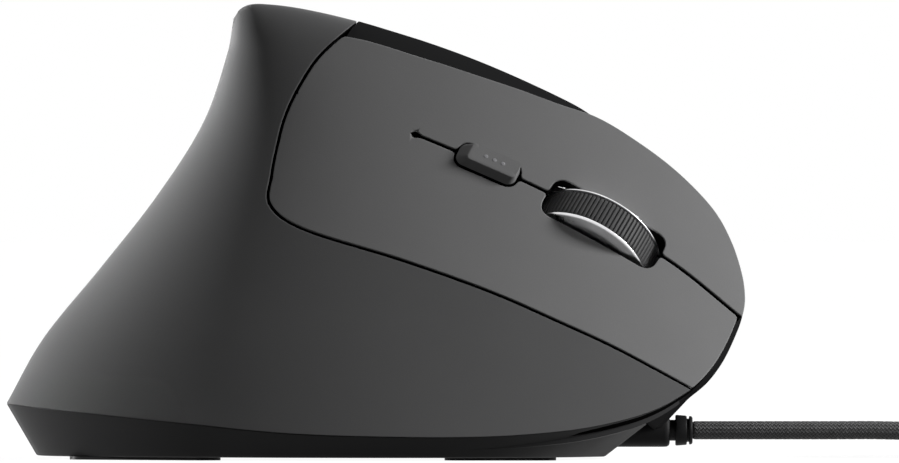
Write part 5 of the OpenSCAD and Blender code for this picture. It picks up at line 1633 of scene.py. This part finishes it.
class Finish(Enum):
    """Finishes of the mouse, by the name of their slot."""

    PLATE = Plastic("plate_grey", (0.173, 0.173, 0.174), 0.44, 5200, 0.12, 0.1, 0.08, 0.06)
    SHELL = Plastic("shell_grey", (0.092, 0.092, 0.093), 0.44, 5200, 0.12, 0.1, 0.08, 0.06)
    # Black second finish: bare moulding on walls and backs, also painted shade in the gaps and painted shadow round the
    # speed button.
    CORE_AND_SHADE = Plastic("core_black_and_shade", (0.004, 0.004, 0.004), 0.8, 4200, 0.1, level=0.0)
    BLACK = Plastic("black_plastic", (0.02, 0.02, 0.0205), 0.55, 4600, 0.12, level=0.08)
    GLOSS = Plastic("ridge_black", (0.015, 0.015, 0.0154), 0.6, 4000, 0.04, level=0.0)
    THUMB = Plastic("thumb_black", (0.02, 0.02, 0.0205), 0.65, 4600, 0.12, level=0.0)
    GLIDE = Plastic("glide", (0.02, 0.02, 0.021), 0.45, 2600, 0.05, level=0.1)
    INNER = Plastic("inner_plastic", (0.05, 0.05, 0.055), 0.55)
    BOARD = Plastic("board_green", (0.01, 0.09, 0.035), 0.4, 1500, 0.05, 0.3, level=0.6)
    STEEL = Metal("steel", (0.55, 0.55, 0.56), 0.32)
    SWITCH = Plastic("switch_black", (0.015, 0.015, 0.016), 0.4)
    PLUNGER = Plastic("plunger_red", (0.45, 0.03, 0.02), 0.4)
    PIN = Plastic("pin_white", (0.62, 0.61, 0.58), 0.45)
    TYRE = Plastic("tyre_rubber", (0.055, 0.055, 0.056), 0.6, 3000, 0.2, level=0.2)
    CHROME = Metal("chrome", (0.8, 0.8, 0.81), 0.3, (300.0, 300.0, 300.0))
    LENS = Plastic("lens", (0.3, 0.36, 0.4), 0.12, 900, 0.02, level=0.7)
    WIRE = Plastic("wire", (0.03, 0.03, 0.03), 0.5)
    GLAND = Plastic("gland_rubber", (0.011, 0.011, 0.0115), 0.5, 3600, 0.12, level=0.1)
    BRAID = Braid("braid", (0.17, 0.17, 0.172), (0.003, 0.003, 0.0033))
    STRAP = Plastic("strap_weave", (0.016, 0.016, 0.017), 0.85, 2400, 0.6, 0.6)
    PLUG = Metal("plug_steel", (0.66, 0.66, 0.67), 0.28, (900.0, 60.0, 900.0))
    GOLD = Metal("gold", (0.8, 0.56, 0.2), 0.25)
    MARK = Plastic("mark_grey", (0.2, 0.2, 0.21), 0.5)


@dataclass
class Inner:
    """Solids kept from the frame, dressed with softened edges and finishes.

    Args:
        finishes: finish of each kept solid.
        edge: radius of the softened edges, in metres.
        turn: angle in degrees past which an edge is softened.
    """

    finishes: dict[str, Finish] = field(
        default_factory=lambda: {
            "rear_feet": Finish.GLIDE, "front_feet": Finish.GLIDE, "base_screws": Finish.STEEL,
            "chassis": Finish.INNER, "switch_board": Finish.BOARD, "board_screws": Finish.STEEL,
            "left_switch": Finish.SWITCH, "right_switch": Finish.SWITCH, "left_plunger": Finish.PLUNGER,
            "right_plunger": Finish.PLUNGER, "speed_switch": Finish.STEEL, "speed_pin": Finish.SWITCH,
            "wheel_switch": Finish.STEEL, "wheel_pin": Finish.SWITCH, "wheel_hub": Finish.INNER,
            "wheel_axle": Finish.STEEL, "encoder_rotor": Finish.PIN, "encoder": Finish.SWITCH,
            "wheel_yoke": Finish.INNER, "yoke_bracket": Finish.INNER, "yoke_pin": Finish.STEEL,
            "thumb_board": Finish.BOARD, "thumb_switches": Finish.STEEL, "back_pin": Finish.SWITCH,
            "forward_pin": Finish.SWITCH, "thumb_screws": Finish.STEEL, "main_board": Finish.BOARD,
            "sensor_chip": Finish.SWITCH, "sensor_lens": Finish.LENS, "cord_header": Finish.PIN,
            "board_header": Finish.PIN, "inner_lead": Finish.WIRE, "board_harness": Finish.WIRE,
            "plug_shell": Finish.PLUG, "plug_tongue": Finish.PIN, "plug_contacts": Finish.GOLD,
        }
    )
    edge: float = 0.00012
    turn: float = 40

    def dress(self, made: dict[Finish, Material]) -> None:
        """Gives each kept solid its finish and softened edges."""
        for node, finish in self.finishes.items():
            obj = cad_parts[node]
            obj.data.materials.clear()
            obj.data.materials.append(made[finish])
            soft = obj.modifiers.new("soft_edges", "BEVEL")
            soft.width = self.edge
            soft.segments = 2
            soft.limit_method = "ANGLE"
            soft.angle_limit = math.radians(self.turn)
            LOG.info("%s: kept in %s", node, finish.value.name)


@dataclass(frozen=True)
class Lamp:
    """A soft square lamp.

    Args:
        name: the lamp's name.
        place: where it stands, in metres.
        aim: the place it points at.
        size: length of its side.
        power: power in watts.
        spread: how far its light fans out, in degrees.
    """

    name: str
    place: tuple[float, float, float]
    aim: tuple[float, float, float]
    size: float
    power: float
    spread: float = 180.0

    def build(self) -> Object:
        """Makes the lamp."""
        data = bpy.data.lights.new(self.name, "AREA")
        data.shape = "SQUARE"
        data.size = self.size
        data.energy = self.power
        data.spread = math.radians(self.spread)
        obj = bpy.data.objects.new(self.name, data)
        obj.location = self.place
        obj.rotation_euler = (Vector(self.aim) - Vector(self.place)).to_track_quat("-Z", "Y").to_euler()
        obj.visible_camera = False
        bpy.context.scene.collection.objects.link(obj)
        return obj


@dataclass
class Stage:
    """Camera, lamps, floor and white surround.

    Args:
        width: width of the view at the mouse, in metres.
        middle: x and z of the middle of the view.
        distance: distance of the camera.
        near: how far the width is measured in front of the middle.
        ambient: strength of the surround's light on the mouse.
        sensor: width of the camera's sensor, in millimetres.
        floor_half: half the floor's side.
        floor_grey: how much of the lamps' light the floor returns.
        floor_fade: distances from the mouse between which the floor turns to full white.
        floor_glow: the floor's glow near the mouse and far from it.
        lamps: the lamps.
    """

    width: float = 0.1456
    middle: tuple[float, float] = (0.012, 0.0369)
    distance: float = 3.0
    near: float = 0.012
    ambient: float = 0.03
    sensor: float = 36.0
    floor_half: float = 60.0
    floor_grey: float = 0.12
    floor_fade: tuple[float, float] = (0.12, 0.4)
    floor_glow: tuple[float, float] = (0.95, 1.0)
    lamps: tuple[Lamp, ...] = (
        Lamp("rear_left", (-1.1, 0.36, 0.14), (-0.03, 0.0, 0.075), 0.06, 0.2, 11.0),
        Lamp("rear_top", (-0.615, 0.516, 0.927), (0.0, 0.0, 0.035), 0.36, 1.6),
        Lamp("nose_right", (1.095, -0.14, 0.487), (0.0, 0.0, 0.035), 0.36, 19.8),
        Lamp("front_top", (0.0, -0.563, 1.095), (0.0, 0.0, 0.035), 0.36, 1.0),
    )

    def build(self) -> None:
        """Makes the stage."""
        scene = bpy.context.scene
        cam = bpy.data.cameras.new("camera")
        cam.sensor_width = self.sensor
        cam.lens = self.sensor * (self.distance - self.near) / self.width
        cam.clip_end = 200.0
        obj = bpy.data.objects.new("camera", cam)
        obj.location = (self.middle[0], -self.distance, self.middle[1])
        obj.rotation_euler = (math.pi / 2, 0, 0)
        scene.collection.objects.link(obj)
        scene.camera = obj
        for lamp in self.lamps:
            lamp.build()
        self.floor()
        self.surround()
        scene.view_settings.view_transform = "Standard"

    @staticmethod
    def seen(tree: NodeTree, path: Node) -> NodeSocket:
        """1 for rays that show the surround: to the camera, in gloss or through glass."""
        out = path.outputs["Is Camera Ray"]
        for key in ("Is Glossy Ray", "Is Transmission Ray"):
            out = Groups.math(tree, "MAXIMUM", out, path.outputs[key])
        return out

    def floor(self) -> None:
        """White floor that keeps the shadow under the mouse."""
        mesh = bpy.data.meshes.new("floor")
        h = self.floor_half
        mesh.from_pydata([(-h, -h, 0), (h, -h, 0), (h, h, 0), (-h, h, 0)], [], [(0, 1, 2, 3)])
        obj = bpy.data.objects.new("floor", mesh)
        bpy.context.scene.collection.objects.link(obj)
        mat, tree, _ = new_material("floor_white")
        tree.nodes.clear()
        out = tree.nodes.new("ShaderNodeOutputMaterial")
        diffuse = tree.nodes.new("ShaderNodeBsdfDiffuse")
        diffuse.inputs["Color"].default_value = (*[self.floor_grey] * 3, 1)
        glow = tree.nodes.new("ShaderNodeEmission")
        path = tree.nodes.new("ShaderNodeLightPath")
        where = tree.nodes.new("ShaderNodeTexCoord")
        away = tree.nodes.new("ShaderNodeVectorMath")
        away.operation = "LENGTH"
        tree.links.new(where.outputs["Object"], away.inputs[0])
        white = tree.nodes.new("ShaderNodeMapRange")
        for key, ends in (("From", self.floor_fade), ("To", self.floor_glow)):
            white.inputs[f"{key} Min"].default_value, white.inputs[f"{key} Max"].default_value = ends
        tree.links.new(away.outputs["Value"], white.inputs["Value"])
        level = Groups.math(tree, "MULTIPLY", self.seen(tree, path), white.outputs[0])
        tree.links.new(level, glow.inputs["Strength"])
        add = tree.nodes.new("ShaderNodeAddShader")
        tree.links.new(diffuse.outputs[0], add.inputs[0])
        tree.links.new(glow.outputs[0], add.inputs[1])
        tree.links.new(add.outputs[0], out.inputs["Surface"])
        mesh.materials.append(mat)

    def surround(self) -> None:
        """White for what the camera sees, dimmer for what lights the mouse."""
        world = bpy.data.worlds.new("surround")
        world.use_nodes = True
        tree = world.node_tree
        back = tree.nodes["Background"]
        back.inputs["Color"].default_value = (1, 1, 1, 1)
        path = tree.nodes.new("ShaderNodeLightPath")
        level = Groups.math(tree, "MAXIMUM", self.seen(tree, path), self.ambient)
        tree.links.new(level, back.inputs["Strength"])
        bpy.context.scene.world = world


def main() -> None:
    """Builds the stage and the mouse, piece by piece."""
    logging.basicConfig(level=logging.INFO, format="%(name)s %(message)s")
    Stage().build()
    made = {finish: finish.value.material() for finish in Finish}
    fittings = Fittings()
    plug = [fittings.tie(made[Finish.STRAP]), fittings.grip(made[Finish.GLAND])]
    plug += [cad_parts[n] for n in ("plug_shell", "plug_tongue", "plug_contacts")]
    Cord().build(made[Finish.BRAID], plug)
    fittings.relief(made[Finish.GLAND])
    FingerPlate().build(made[Finish.PLATE], made[Finish.CORE_AND_SHADE])
    shells = Shells()
    shells.palm(made[Finish.SHELL], made[Finish.CORE_AND_SHADE])
    shells.thumb(made[Finish.THUMB])
    shells.tongue(made[Finish.CORE_AND_SHADE])
    shells.trim(made[Finish.GLOSS])
    shells.base(made[Finish.BLACK])
    Wheel().build(made[Finish.TYRE], made[Finish.CHROME])
    Caps().build(made[Finish.PLATE], made[Finish.MARK], made[Finish.CORE_AND_SHADE])
    Inner().dress(made)


if __name__ == "__main__":
    main()
